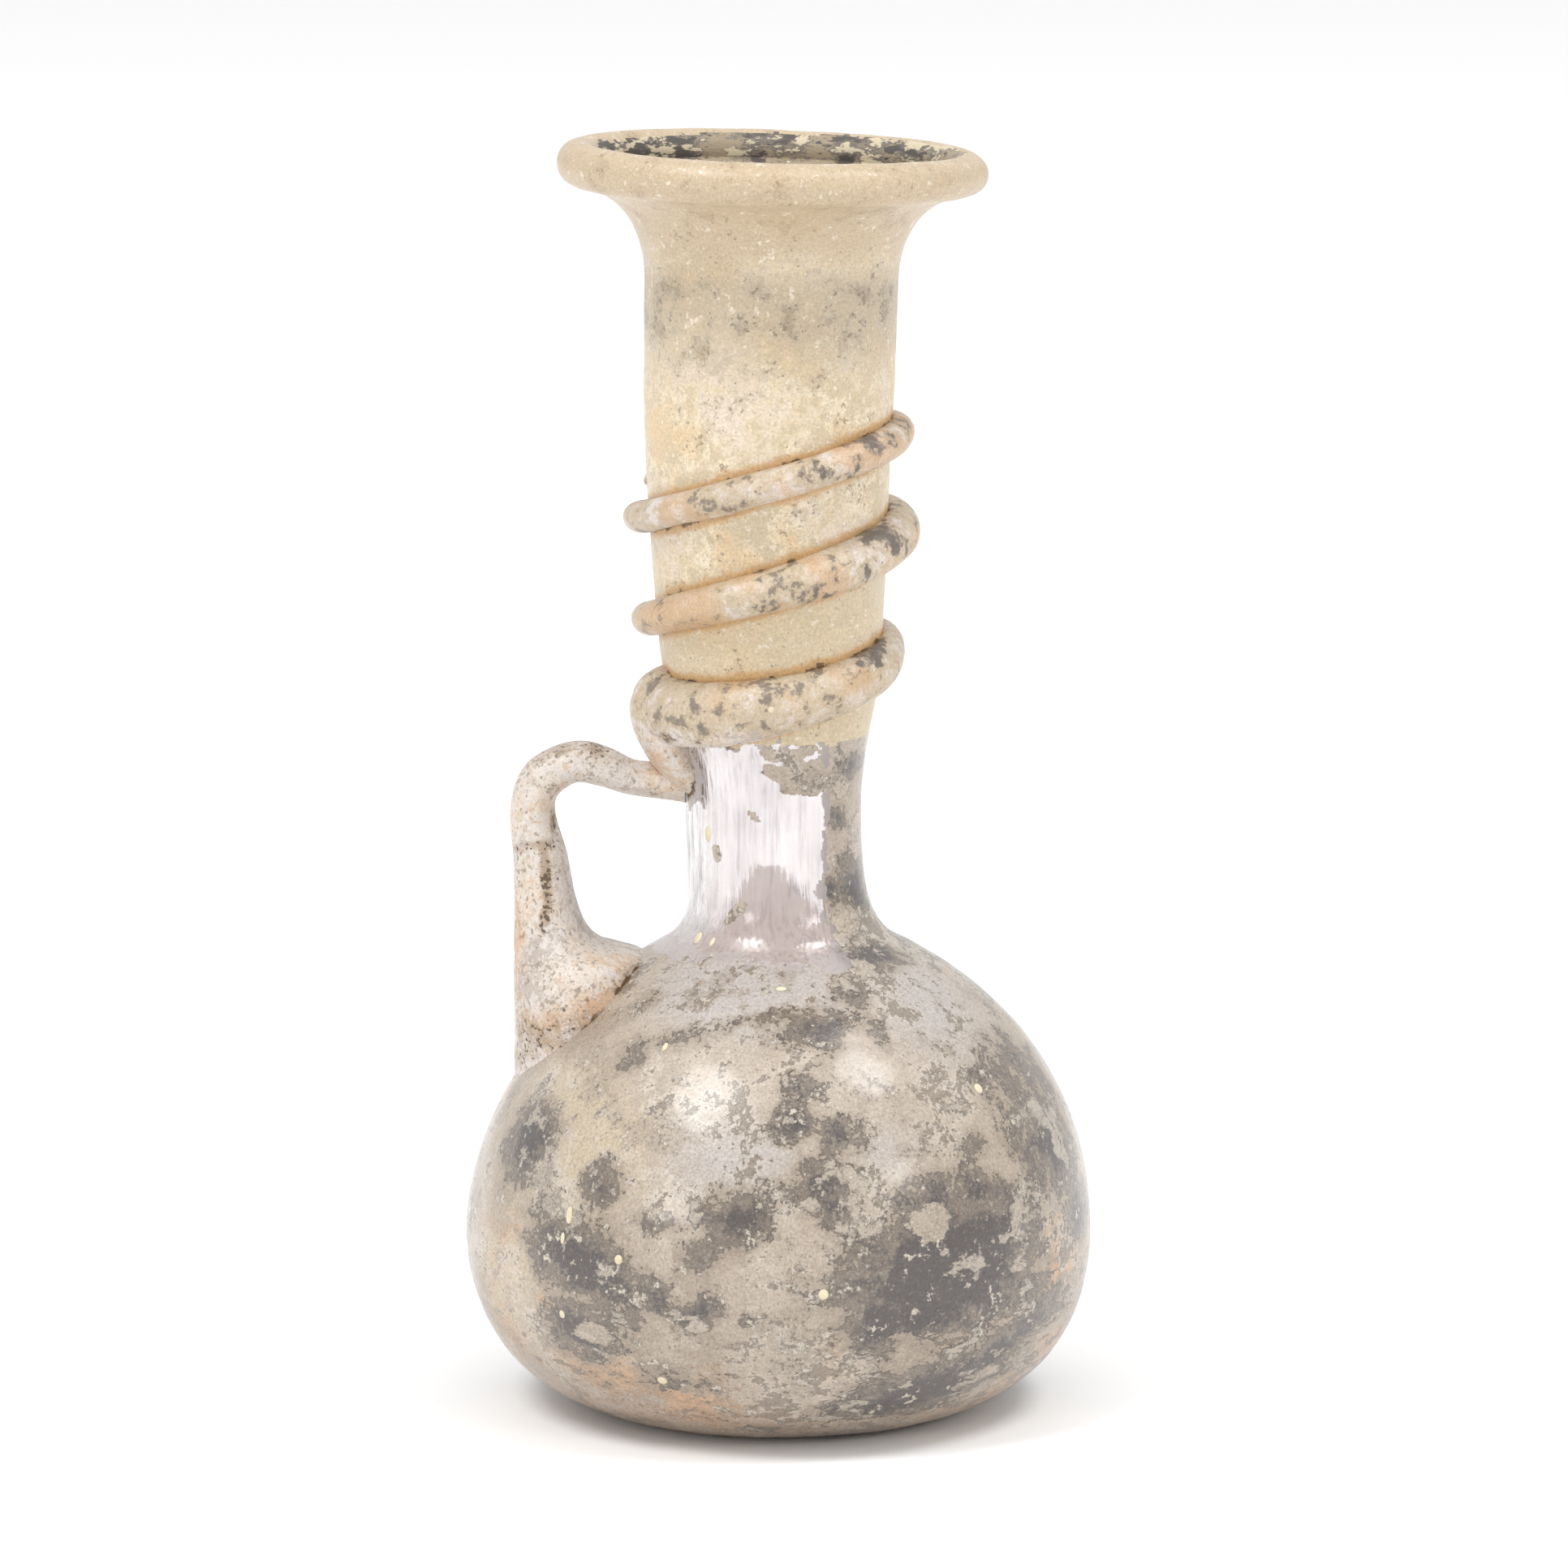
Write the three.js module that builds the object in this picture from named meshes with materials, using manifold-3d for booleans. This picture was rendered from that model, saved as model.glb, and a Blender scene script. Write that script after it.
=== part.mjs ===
// A small glass perfume flask of late Roman make: one blown bubble with a squat body, a tall neck and
// a rolled rim, and one gather of hot glass fused to it. The gather spreads on the shoulder as a foot,
// rises as the handle, is pressed on the neck, folds back and is trailed round the neck in three coils.
// All of it was joined hot, so the flask is one solid. Millimetres, +Z up. The origin is the middle of
// the ring that the flask stands on, and the handle is on the -X side.

import * as THREE from "three";
import { mergeVertices } from "three/addons/utils/BufferGeometryUtils.js";
import Module from "manifold-3d";

const wasm = await Module();
wasm.setup();

// The bubble's outside, from the foot up. Each rise is counted from the place before it.
const RING_DIAMETER = 28; // outer edge of the ring that it stands on
const RING_WIDTH = 1.6;
const KICK_HEIGHT = 3; // how far the base is pushed in
const BELLY_DIAMETER = 59.8;
const BELLY_HEIGHT = 16; // where the body is widest
const SHOULDER_DIAMETER = 22.4; // where the round body turns into the foot of the neck
const DOME_RISE = 28.6;
const SHOULDER_PITCH = 28.5; // degrees above the horizon
const WAIST_DIAMETER = 16.6; // the narrowest place of the neck
const NECK_FOOT_RISE = 12.4;
const COLLAR_DIAMETER = 21.1; // where the neck has opened out, under the second coil
const COLLAR_RISE = 16.2;
const COLLAR_FLARE = 0.055; // how fast the radius grows there
const NECK_TOP_DIAMETER = 23.8;
const NECK_RISE = 33.5;
const RIM_DIAMETER = 40.4;
const THROAT_RISE = 13.3;
const RIM_ROLL = 4; // thickness of the rolled edge
const ROLL_ENDS = 195; // degrees round the roll, from its outside, at which it turns into the mouth

// Glass thickness.
const BASE_WALL = 2.4;
const BODY_WALL = 1.7;
const NECK_WALL = 1.8;

// How long a stretch of the outline holds its first direction and its last, as shares of its length.
const UNDERSIDE = { leave: 0.43, arrive: 0.38 };
const DOME = { leave: 0.47, arrive: 0.24 };
const NECK_FOOT = { leave: 0.31, arrive: 0.47 };
const LOWER_NECK = { leave: 0.37, arrive: 0.31 };
const UPPER_NECK = { leave: 0.24, arrive: 0.36 };
const THROAT = { leave: 0.36, arrive: 0.45 };
const MOUTH = { leave: 0.42, arrive: 0.45 };
const KICK = { leave: 0.45, arrive: 0.2 };

// The hand-blown bubble isn't true: its axis sways to the right and left on its way up, and its rim
// dips to the right.
const FOOT_SWAY = 0.2;
const DOME_SWAY = 0.65;
const WAIST_SWAY = -0.5;
const NECK_SWAY = -0.95;
const RIM_SWAY = -0.5;
const RIM_DIP = 0.65;

// The handle. Its pad is pressed on the neck a little above the waist.
const HANDLE_REACH = 25.1; // from the axis to the strap's outer face
const PAD_ABOVE_WAIST = 2.8;
const FOOT_DEPTH = 12.8; // the foot's size in the plane of the handle
const FOOT_WIDTH = 17;
const STRAP_THICKNESS = 5.1;
const STRAP_WIDTH = 6.6;
const ARCH_THICKNESS = 4;
const ARCH_WIDTH = 5.4;
const ARCH_LIFT = 1.7; // how far the arch rises over the pad

// The fold of glass over the pad, where the handle turns into the thread.
const FOLD_HEIGHT = 11;
const FOLD_STANDS_OUT = 4.1;
const FOLD_THICKNESS = 5.1;
const FOLD_WIDTH = 7.4;
const FOLD_TURN = 10; // degrees from the handle's side towards the front

// The thread, trailed from the fold over the front to the right and on round the neck. Each station is
// half a turn after the one before: how far the thread has climbed since, how tall it is and how far it
// stands out from the neck.
const THREAD_ABOVE_PAD = 7.2; // where it leaves the fold
const THREAD_SAG = 1.1; // how far its first stretch hangs, over the front
const THREAD = [
  { climb: 0, tall: 6.8, standsOut: 3.7 },
  { climb: 5.3, tall: 4.3, standsOut: 2.2 },
  { climb: 2.9, tall: 3.3, standsOut: 2.5 },
  { climb: 8.3, tall: 4.8, standsOut: 3.1 },
  { climb: 1.4, tall: 3, standsOut: 2.4 },
  { climb: 8, tall: 3.3, standsOut: 2.1 },
  { climb: -4.8, tall: 1.1, standsOut: 0.6 },
];

// How finely the solid is faceted.
const AROUND = 44;
const KICK_STEPS = 2;
const UNDERSIDE_STEPS = 6;
const DOME_STEPS = 8;
const NECK_FOOT_STEPS = 5;
const NECK_STEPS = 4;
const THROAT_STEPS = 5;
const ROLL_STEPS = 10;
const THREAD_SIDES = 8;
const THREAD_STEPS_PER_HALF_TURN = 10;
const STRAP_SIDES = 12;
const STRAP_STEPS_PER_STOP = 2;

const SHOULDER_HEIGHT = BELLY_HEIGHT + DOME_RISE;
const WAIST_HEIGHT = SHOULDER_HEIGHT + NECK_FOOT_RISE;
const COLLAR_HEIGHT = WAIST_HEIGHT + COLLAR_RISE;
const NECK_TOP_HEIGHT = COLLAR_HEIGHT + NECK_RISE;
const FLASK_HEIGHT = NECK_TOP_HEIGHT + THROAT_RISE;
const PAD_HEIGHT = WAIST_HEIGHT + PAD_ABOVE_WAIST;

const { degToRad, lerp, smoothstep, clamp } = THREE.MathUtils;

// A point of an outline: r is the distance from the axis and z the height.
const point = (r, z) => new THREE.Vector2(r, z);
const OUT = point(1, 0);
const UP = point(0, 1);
const INTO_RING = point(1, -0.6).normalize();
const INTO_ROLL = point(1, 0.15).normalize();
const INTO_MOUTH = point(1, 0.36).normalize();

// Adds a smooth stretch to an outline, from its last point to `end`, leaving and arriving along two
// unit directions.
function swell(line, end, leaving, arriving, hold) {
  const start = line.currentPoint.clone();
  const span = start.distanceTo(end);
  const first = start.clone().addScaledVector(leaving, hold.leave * span);
  const second = end.clone().addScaledVector(arriving, -hold.arrive * span);
  line.bezierCurveTo(first.x, first.y, second.x, second.y, end.x, end.y);
}

// The outline from the axis under the base to the top of the neck, at a depth in the wall: 0 is the
// outside and 1 the inside.
function outlineToNeckTop(depth) {
  const base = depth * BASE_WALL;
  const body = depth * BODY_WALL;
  const neck = depth * NECK_WALL;
  const ring = RING_DIAMETER / 2;
  const pitch = degToRad(SHOULDER_PITCH);
  const shoulderRun = point(-Math.cos(pitch), Math.sin(pitch));
  const shoulderNormal = point(Math.sin(pitch), Math.cos(pitch));
  const shoulder = point(SHOULDER_DIAMETER / 2, SHOULDER_HEIGHT).addScaledVector(shoulderNormal, -body);
  const collarRun = point(COLLAR_FLARE, 1).normalize();
  const line = new THREE.Path();
  line.moveTo(0, KICK_HEIGHT + base);
  swell(line, point(ring - RING_WIDTH, base), OUT, INTO_RING, KICK);
  line.lineTo(ring, base);
  swell(line, point(BELLY_DIAMETER / 2 - body, BELLY_HEIGHT), OUT, UP, UNDERSIDE);
  swell(line, shoulder, UP, shoulderRun, DOME);
  swell(line, point(WAIST_DIAMETER / 2 - neck, WAIST_HEIGHT), shoulderRun, UP, NECK_FOOT);
  swell(line, point(COLLAR_DIAMETER / 2 - neck, COLLAR_HEIGHT), UP, collarRun, LOWER_NECK);
  swell(line, point(NECK_TOP_DIAMETER / 2 - neck, NECK_TOP_HEIGHT), collarRun, UP, UPPER_NECK);
  return line;
}

// A place on the rolled rim, by its angle from the outermost point.
function onRoll(degrees) {
  const half = RIM_ROLL / 2;
  const around = point(Math.cos(degToRad(degrees)), Math.sin(degToRad(degrees)));
  return point(RIM_DIAMETER / 2 - half, FLASK_HEIGHT - half).addScaledVector(around, half);
}

// The points of an outline's stretches.
function walk(path) {
  const steps = [
    KICK_STEPS, 1, UNDERSIDE_STEPS, DOME_STEPS, NECK_FOOT_STEPS, NECK_STEPS, NECK_STEPS, THROAT_STEPS,
  ];
  const points = [path.curves[0].getPoint(0)];
  path.curves.forEach((curve, i) => points.push(...curve.getPoints(steps[i]).slice(1)));
  return points;
}

// The whole outside: base, body, neck, throat and the roll, as far as the mouth.
function outsideOutline() {
  const line = outlineToNeckTop(0);
  swell(line, onRoll(-90), UP, INTO_ROLL, THROAT);
  const points = walk(line);
  for (let i = 1; i <= ROLL_STEPS; i++) points.push(onRoll(lerp(-90, ROLL_ENDS, i / ROLL_STEPS)));
  return points;
}

// The inside, or any depth of the wall, up to where the roll turns into the mouth.
function insideOutline(depth) {
  const line = outlineToNeckTop(depth);
  swell(line, onRoll(ROLL_ENDS), UP, INTO_MOUTH, MOUTH);
  return walk(line);
}

const outside = outsideOutline();
const inside = insideOutline(1);

// How far the axis has swayed to the right at a height.
function sway(z) {
  const stops = [
    [0, FOOT_SWAY],
    [BELLY_HEIGHT, 0],
    [lerp(BELLY_HEIGHT, SHOULDER_HEIGHT, 0.77), DOME_SWAY],
    [WAIST_HEIGHT, WAIST_SWAY],
    [(COLLAR_HEIGHT + NECK_TOP_HEIGHT) / 2, NECK_SWAY],
    [FLASK_HEIGHT, RIM_SWAY],
  ];
  let x = FOOT_SWAY;
  for (let i = 1; i < stops.length; i++) {
    x += (stops[i][1] - stops[i - 1][1]) * smoothstep(z, stops[i - 1][0], stops[i][0]);
  }
  return x;
}

// Gives a true shape the sway and the dipping rim of the real one.
function makeUntrue(geometry) {
  const p = geometry.getAttribute("position");
  for (let i = 0; i < p.count; i++) {
    const z = p.getZ(i);
    const share = p.getX(i) / (RIM_DIAMETER / 2);
    const dip = RIM_DIP * share * smoothstep(z, NECK_TOP_HEIGHT, FLASK_HEIGHT);
    p.setXYZ(i, p.getX(i) + sway(z), p.getY(i), z - dip);
  }
  return geometry;
}

// Turns an outline about the flask's axis.
function turned(points) {
  const geometry = new THREE.LatheGeometry(points, AROUND);
  geometry.rotateX(Math.PI / 2); // a lathe turns about +Y, and the flask stands along +Z
  return makeUntrue(geometry);
}

// A manifold solid of a closed geometry.
function solid(geometry) {
  geometry.deleteAttribute("normal");
  geometry.deleteAttribute("uv");
  const merged = mergeVertices(geometry, 1e-4);
  const vertProperties = merged.getAttribute("position").array;
  const triVerts = new Uint32Array(merged.index.array);
  return new wasm.Manifold(new wasm.Mesh({ numProp: 3, vertProperties, triVerts }));
}

// The bubble: one closed outline from the axis over the rim and back down inside to the axis.
function bubble() {
  return solid(turned([...outside, ...inside.slice(0, -1).reverse()]));
}

// What the applied glass mustn't reach into: everything within the middle of the wall.
function core() {
  return solid(turned([...insideOutline(0.5), point(0, FLASK_HEIGHT)]));
}

// The outside radius of the neck and its foot at a height.
function neckRadius(z) {
  const line = outside.filter((p) => p.y >= SHOULDER_HEIGHT - 1 && p.y <= NECK_TOP_HEIGHT + 1e-6);
  const i = clamp(line.findIndex((p) => p.y > z), 1, line.length - 1);
  const [a, b] = [line[i - 1], line[i]];
  return lerp(a.x, b.x, clamp((z - a.y) / (b.y - a.y), 0, 1));
}

// How far the neck reaches to the handle's side at a height, with its sway.
const neckReach = (z) => neckRadius(z) - sway(z);

// The height of the dome at a distance from the axis.
function domeHeight(r) {
  const line = outside.filter((p) => p.y >= BELLY_HEIGHT - 1e-6 && p.y <= SHOULDER_HEIGHT + 1e-6);
  const i = line.findIndex((p) => p.x < r);
  if (i < 1) return i === 0 ? BELLY_HEIGHT : SHOULDER_HEIGHT;
  const [a, b] = [line[i - 1], line[i]];
  return lerp(a.y, b.y, (r - a.x) / (b.x - a.x));
}

// A smooth run through a list of numbers, at a place counted in steps of the list.
function along(values, place) {
  const i = clamp(Math.floor(place), 0, values.length - 2);
  const w = place - i;
  const [a, b, c, d] = [i - 1, i, i + 1, i + 2].map((k) => values[clamp(k, 0, values.length - 1)]);
  const bend = 2 * a - 5 * b + 4 * c - d + w * (3 * (b - c) + d - a);
  return b + 0.5 * w * (c - a + w * bend);
}

// A closed form along a line of elliptical sections. sectionAt gives, for a share of the way, the
// section's centre and its half axes `wide` and `tall`; wide, the way ahead and tall are right-handed.
function loft(sectionAt, sides, steps) {
  const geometry = new THREE.CylinderGeometry(1, 1, 1, sides, steps);
  const p = geometry.getAttribute("position");
  for (let i = 0; i < p.count; i++) {
    const { centre, wide, tall } = sectionAt(p.getY(i) + 0.5);
    const v = centre.clone().addScaledVector(wide, p.getX(i)).addScaledVector(tall, p.getZ(i));
    p.setXYZ(i, v.x, v.y, v.z);
  }
  return solid(geometry);
}

// A strap of glass in an upright plane through the axis, which lies `turn` degrees from the handle's
// side towards the front. Each stop has its distance from the axis and height, the direction in which
// the strap runs there (0 degrees is inwards and 90 up), and its thickness and width.
function strap(stops, turn) {
  const angle = degToRad(180 + turn);
  const inward = new THREE.Vector3(-Math.cos(angle), -Math.sin(angle), 0);
  const up = new THREE.Vector3(0, 0, 1);
  const aside = inward.clone().cross(up);
  const last = stops.length - 1;
  const at = (key, u) => along(stops.map((stop) => stop[key]), u * last);
  const sectionAt = (u) => {
    const run = degToRad(at("run", u));
    const half = at("thick", u) / 2;
    const centre = inward.clone().multiplyScalar(-at("r", u)).addScaledVector(up, at("z", u));
    const wide = inward.clone().multiplyScalar(Math.sin(run)).addScaledVector(up, -Math.cos(run));
    return { centre, wide: wide.multiplyScalar(half), tall: aside.clone().multiplyScalar(at("wide", u) / 2) };
  };
  return loft(sectionAt, STRAP_SIDES, last * STRAP_STEPS_PER_STOP);
}

// The handle, from the foot that spreads on the shoulder to the pad on the neck.
function handle() {
  const heel = domeHeight(HANDLE_REACH + DOME_SWAY);
  const instep = domeHeight(HANDLE_REACH - FOOT_DEPTH);
  const arch = PAD_HEIGHT + ARCH_LIFT;
  const pad = neckReach(PAD_HEIGHT);
  const foot = HANDLE_REACH - FOOT_DEPTH / 2;
  const riser = HANDLE_REACH - STRAP_THICKNESS / 2;
  const bend = HANDLE_REACH - ARCH_THICKNESS / 2;
  const stop = (r, z, run, thick, wide) => ({ r, z, run, thick, wide });
  const inFoot = (r, z, thick, wide) => stop(r, z, 90, thick * FOOT_DEPTH, wide * FOOT_WIDTH);
  const inRiser = (r, z, thick, wide) => stop(r, z, 90, thick * STRAP_THICKNESS, wide * STRAP_WIDTH);
  const inArch = (share, z, run, thick, wide) =>
    stop(lerp(bend, pad, share), z, run, thick * ARCH_THICKNESS, wide * ARCH_WIDTH);
  return strap(
    [
      inFoot(foot, heel - 2, 1, 0.75),
      inFoot(foot, (heel + instep) / 2, 1, 1),
      inFoot(foot, instep - 1, 1, 0.85),
      inRiser(riser - 1.3, instep + 0.1, 1.5, 1.7),
      inRiser(riser - 0.9, instep + 1.6, 1.33, 1.35),
      inRiser(riser - 0.4, instep + 4.5, 1.13, 1.08),
      inRiser(riser, (instep + arch) / 2, 1, 1),
      inArch(-0.01, arch - 4.5, 84, 1.08, 1.1),
      inArch(0.06, arch - 1.6, 45, 1.05, 1.05),
      inArch(0.27, arch, 0, 1, 1),
      inArch(0.46, arch - 0.4, -20, 0.95, 0.95),
      inArch(0.64, arch - 1.4, -14, 0.84, 0.87),
      inArch(0.82, PAD_HEIGHT, -3, 0.88, 0.92),
      inArch(1.01, PAD_HEIGHT - 0.1, 0, 1.02, 1.05),
    ],
    0,
  );
}

// The fold: glass that was pushed back up over the pad before the thread was drawn from it.
function fold() {
  const out = FOLD_STANDS_OUT - FOLD_THICKNESS / 2;
  const stop = (rise, stands, run, thick, wide) => {
    const z = PAD_HEIGHT + rise * FOLD_HEIGHT;
    const r = neckReach(z) + stands;
    return { r, z, run, thick: thick * FOLD_THICKNESS, wide: wide * FOLD_WIDTH };
  };
  return strap(
    [
      stop(0.05, 0, 135, 0.75, 0.8),
      stop(0.32, 0.72 * out, 112, 0.88, 0.95),
      stop(0.63, out, 88, 1, 1),
      stop(0.95, -0.3 * out, 55, 0.66, 0.8),
    ],
    FOLD_TURN,
  );
}

// The trailed thread.
function thread() {
  const heights = [];
  let height = PAD_HEIGHT + THREAD_ABOVE_PAD;
  for (const station of THREAD) {
    height += station.climb;
    heights.push(height);
  }
  const halfTurns = THREAD.length - 1;
  const at = (key, place) => along(THREAD.map((station) => station[key]), place);
  const sectionAt = (u) => {
    const place = u * halfTurns;
    const angle = Math.PI * (1 + place);
    const sag = place < 1 ? THREAD_SAG * Math.sin(Math.PI * place) : 0;
    const z = along(heights, place) - sag;
    const standsOut = at("standsOut", place);
    const out = new THREE.Vector3(Math.cos(angle), Math.sin(angle), 0);
    const centre = out.clone().multiplyScalar(neckRadius(z) + standsOut / 4);
    centre.x += sway(z);
    centre.z = z;
    const wide = out.multiplyScalar((3 / 4) * standsOut);
    return { centre, wide, tall: new THREE.Vector3(0, 0, at("tall", place) / 2) };
  };
  return loft(sectionAt, THREAD_SIDES, halfTurns * THREAD_STEPS_PER_HALF_TURN);
}

// A three.js geometry of a manifold solid.
function geometryOf(made) {
  const mesh = made.getMesh();
  const geometry = new THREE.BufferGeometry();
  geometry.setAttribute("position", new THREE.BufferAttribute(mesh.vertProperties, mesh.numProp));
  geometry.setIndex(new THREE.BufferAttribute(mesh.triVerts, 1));
  geometry.computeVertexNormals();
  return geometry;
}

const weatheredGlass = new THREE.MeshStandardMaterial({ color: 0xd8cdb8, roughness: 0.45, metalness: 0 });

function flask() {
  const applied = handle().add(fold()).add(thread()).subtract(core());
  const mesh = new THREE.Mesh(geometryOf(bubble().add(applied)), weatheredGlass);
  mesh.name = "flask";
  return mesh;
}

const group = new THREE.Group();
group.add(flask());

export default group;
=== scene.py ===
# %% [markdown]
# A glass perfume flask
#
# This lesson dresses a small late Roman flask of weathered glass. A blown bubble makes the body, the
# neck and the rolled rim. One more gather of hot glass makes the handle, a fold over it and the thread
# that winds three times round the neck. Nothing can be taken apart, so everything ends as one mesh.

# %% The frame
import math
from types import SimpleNamespace

import bmesh
import bpy
import numpy as np
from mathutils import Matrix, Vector, noise
from mathutils.bvhtree import BVHTree
from mathutils.geometry import interpolate_bezier


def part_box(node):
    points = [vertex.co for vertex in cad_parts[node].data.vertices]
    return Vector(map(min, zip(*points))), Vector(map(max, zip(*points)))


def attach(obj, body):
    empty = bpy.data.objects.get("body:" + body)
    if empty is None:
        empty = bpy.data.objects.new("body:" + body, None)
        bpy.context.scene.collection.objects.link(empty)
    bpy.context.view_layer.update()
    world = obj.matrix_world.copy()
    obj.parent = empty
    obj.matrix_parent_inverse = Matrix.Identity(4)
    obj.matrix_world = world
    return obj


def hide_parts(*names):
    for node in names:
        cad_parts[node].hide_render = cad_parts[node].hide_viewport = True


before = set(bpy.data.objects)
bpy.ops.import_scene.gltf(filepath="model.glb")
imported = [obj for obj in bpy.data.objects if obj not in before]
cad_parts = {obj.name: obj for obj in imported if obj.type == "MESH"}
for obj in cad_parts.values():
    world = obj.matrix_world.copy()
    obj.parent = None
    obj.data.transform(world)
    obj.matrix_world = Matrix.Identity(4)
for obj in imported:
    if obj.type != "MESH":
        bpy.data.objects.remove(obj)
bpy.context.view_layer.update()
low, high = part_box("flask")
print("The solid flask is", [round(1000 * (b - a), 1) for a, b in zip(low, high)], "mm")

# %% [markdown]
# Blender counts in metres and a flask is measured in millimetres, so one value turns one into the
# other. Two more helpers leave nothing selected before a new piece is begun, and apply a modifier.

# %% Helpers
MM = 0.001


def mm(*values):
    """A point whose sides are given in millimetres."""
    return Vector(values) * MM


def select_only(piece):
    """Leaves this piece alone selected, in object mode."""
    if bpy.context.object and bpy.context.object.mode != "OBJECT":
        bpy.ops.object.mode_set(mode="OBJECT")
    bpy.ops.object.select_all(action="DESELECT")
    if piece:
        piece.select_set(True)
        bpy.context.view_layer.objects.active = piece


def apply_modifier(piece, name, kind, **settings):
    """Adds a modifier, sets it up and applies it."""
    modifier = piece.modifiers.new(name, kind)
    for key, value in settings.items():
        setattr(modifier, key, value)
    select_only(piece)
    bpy.ops.object.modifier_apply(modifier=name)


def blend(a, b, share):
    """The value that lies at a share of the way from a to b."""
    return a + (b - a) * share


def smooth_step(value, start, end):
    """0 before start, 1 after end, and smooth between them."""
    share = min(max((value - start) / (end - start), 0.0), 1.0)
    return share * share * (3 - 2 * share)


print("Lengths are written in millimetres, 1 mm =", MM, "m")

# %% [markdown]
# The camera looks almost level at the flask, 9.5 degrees down, from well back with a long lens, as in a
# catalogue picture. It stands in front, along -Y, with the handle on the left.

# %% Camera
CAMERA_PITCH = math.radians(9.5)
CAMERA_DISTANCE = 760 * MM
CAMERA_TARGET = mm(0.52, 0, 59.4)
CAMERA_LENS = 184.6  # millimetres, on a 36 mm sensor

select_only(None)
toward_camera = Vector((0, -math.cos(CAMERA_PITCH), math.sin(CAMERA_PITCH)))
bpy.ops.object.camera_add(
    location=CAMERA_TARGET + CAMERA_DISTANCE * toward_camera,
    rotation=(math.pi / 2 - CAMERA_PITCH, 0, 0),
)
camera = bpy.context.object
camera.name = "camera"
camera.data.lens = CAMERA_LENS
camera.data.sensor_width = 36
camera.data.clip_start = 0.05
camera.data.clip_end = 20
bpy.context.scene.camera = camera
print("The camera is", round(camera.location.length, 3), "m from the flask's foot")

# %% [markdown]
# The outline of the bubble is one closed line from the axis under the base, up the outside, round the
# rolled rim and down the inside. A worker lets each stretch swell smoothly into the next, which is what
# a Bezier curve does, so each stretch is a spline of two points. It holds its first and last direction
# for a share of its length. The sizes are those of the solid flask.

# %% Sizes of the bubble
RING_RADIUS = 14.0
RING_WIDTH = 1.6
KICK_HEIGHT = 3.0
BELLY_RADIUS = 29.7
BELLY_HEIGHT = 16.0
SHOULDER_RADIUS = 11.2
SHOULDER_HEIGHT = 44.6
SHOULDER_PITCH = math.radians(28.5)
WAIST_RADIUS = 8.3
WAIST_HEIGHT = 57.0
COLLAR_RADIUS = 10.55
COLLAR_HEIGHT = 73.2
COLLAR_FLARE = 0.055
NECK_TOP_RADIUS = 11.9
NECK_TOP_HEIGHT = 106.7
RIM_RADIUS = 20.15
ROLL_RADIUS = 2.0
RIM_HEIGHT = 119.75
BASE_WALL = 2.4
BODY_WALL = 1.7
NECK_WALL = 1.8

UP = Vector((0, 0, 1))
OUT = Vector((1, 0, 0))


def outline_stretches(depth):
    """The stretches from the axis to the top of the neck, outside at depth 0 and inside at depth 1.

    Each is (start, end, first direction, last direction, first hold, last hold, steps)."""
    pitch_run = Vector((-math.cos(SHOULDER_PITCH), 0, math.sin(SHOULDER_PITCH)))
    pitch_normal = Vector((math.sin(SHOULDER_PITCH), 0, math.cos(SHOULDER_PITCH)))
    collar_run = Vector((COLLAR_FLARE, 0, 1)).normalized()
    base = depth * BASE_WALL
    body = depth * BODY_WALL
    neck = depth * NECK_WALL
    centre = Vector((0, 0, KICK_HEIGHT + base))
    ring_inside = Vector((RING_RADIUS - RING_WIDTH, 0, base))
    ring = Vector((RING_RADIUS, 0, base))
    belly = Vector((BELLY_RADIUS - body, 0, BELLY_HEIGHT))
    shoulder = Vector((SHOULDER_RADIUS, 0, SHOULDER_HEIGHT)) - body * pitch_normal
    waist = Vector((WAIST_RADIUS - neck, 0, WAIST_HEIGHT))
    collar = Vector((COLLAR_RADIUS - neck, 0, COLLAR_HEIGHT))
    top = Vector((NECK_TOP_RADIUS - neck, 0, NECK_TOP_HEIGHT))
    into_ring = Vector((1, 0, -0.6)).normalized()
    fine = 1 if depth == 0 else 0.4
    return [
        (centre, ring_inside, OUT, into_ring, 0.45, 0.2, 12 * fine),
        (ring_inside, ring, OUT, OUT, 0.3, 0.3, 2),
        (ring, belly, OUT, UP, 0.43, 0.38, 26 * fine),
        (belly, shoulder, UP, pitch_run, 0.47, 0.24, 46 * fine),
        (shoulder, waist, pitch_run, UP, 0.31, 0.47, 44 * fine),
        (waist, collar, UP, collar_run, 0.37, 0.31, 50 * fine),
        (collar, top, collar_run, UP, 0.24, 0.36, 44 * fine),
    ]


print("The body is", 2 * BELLY_RADIUS, "mm wide and the rim", 2 * RIM_RADIUS, "mm")

# %% [markdown]
# The rim was folded outwards and rolled. Its section is a circle, drawn as three Bezier arcs of 95
# degrees each: from its underside over the outside and the top to the place where it turns into the
# mouth. A Bezier arc follows a circle when its handles are 4/3 tan(angle / 4) radii long.

# %% The rolled rim and the whole outline
ROLL_CENTRE = Vector((RIM_RADIUS - ROLL_RADIUS, 0, RIM_HEIGHT - ROLL_RADIUS))
ROLL_ARC = 95
ROLL_START = -90


def on_roll(degrees):
    """A place on the roll, by its angle from the outermost point."""
    angle = math.radians(degrees)
    return ROLL_CENTRE + ROLL_RADIUS * Vector((math.cos(angle), 0, math.sin(angle)))


def along_roll(degrees):
    """The direction in which the outline runs there."""
    angle = math.radians(degrees)
    return Vector((-math.sin(angle), 0, math.cos(angle)))


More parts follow.
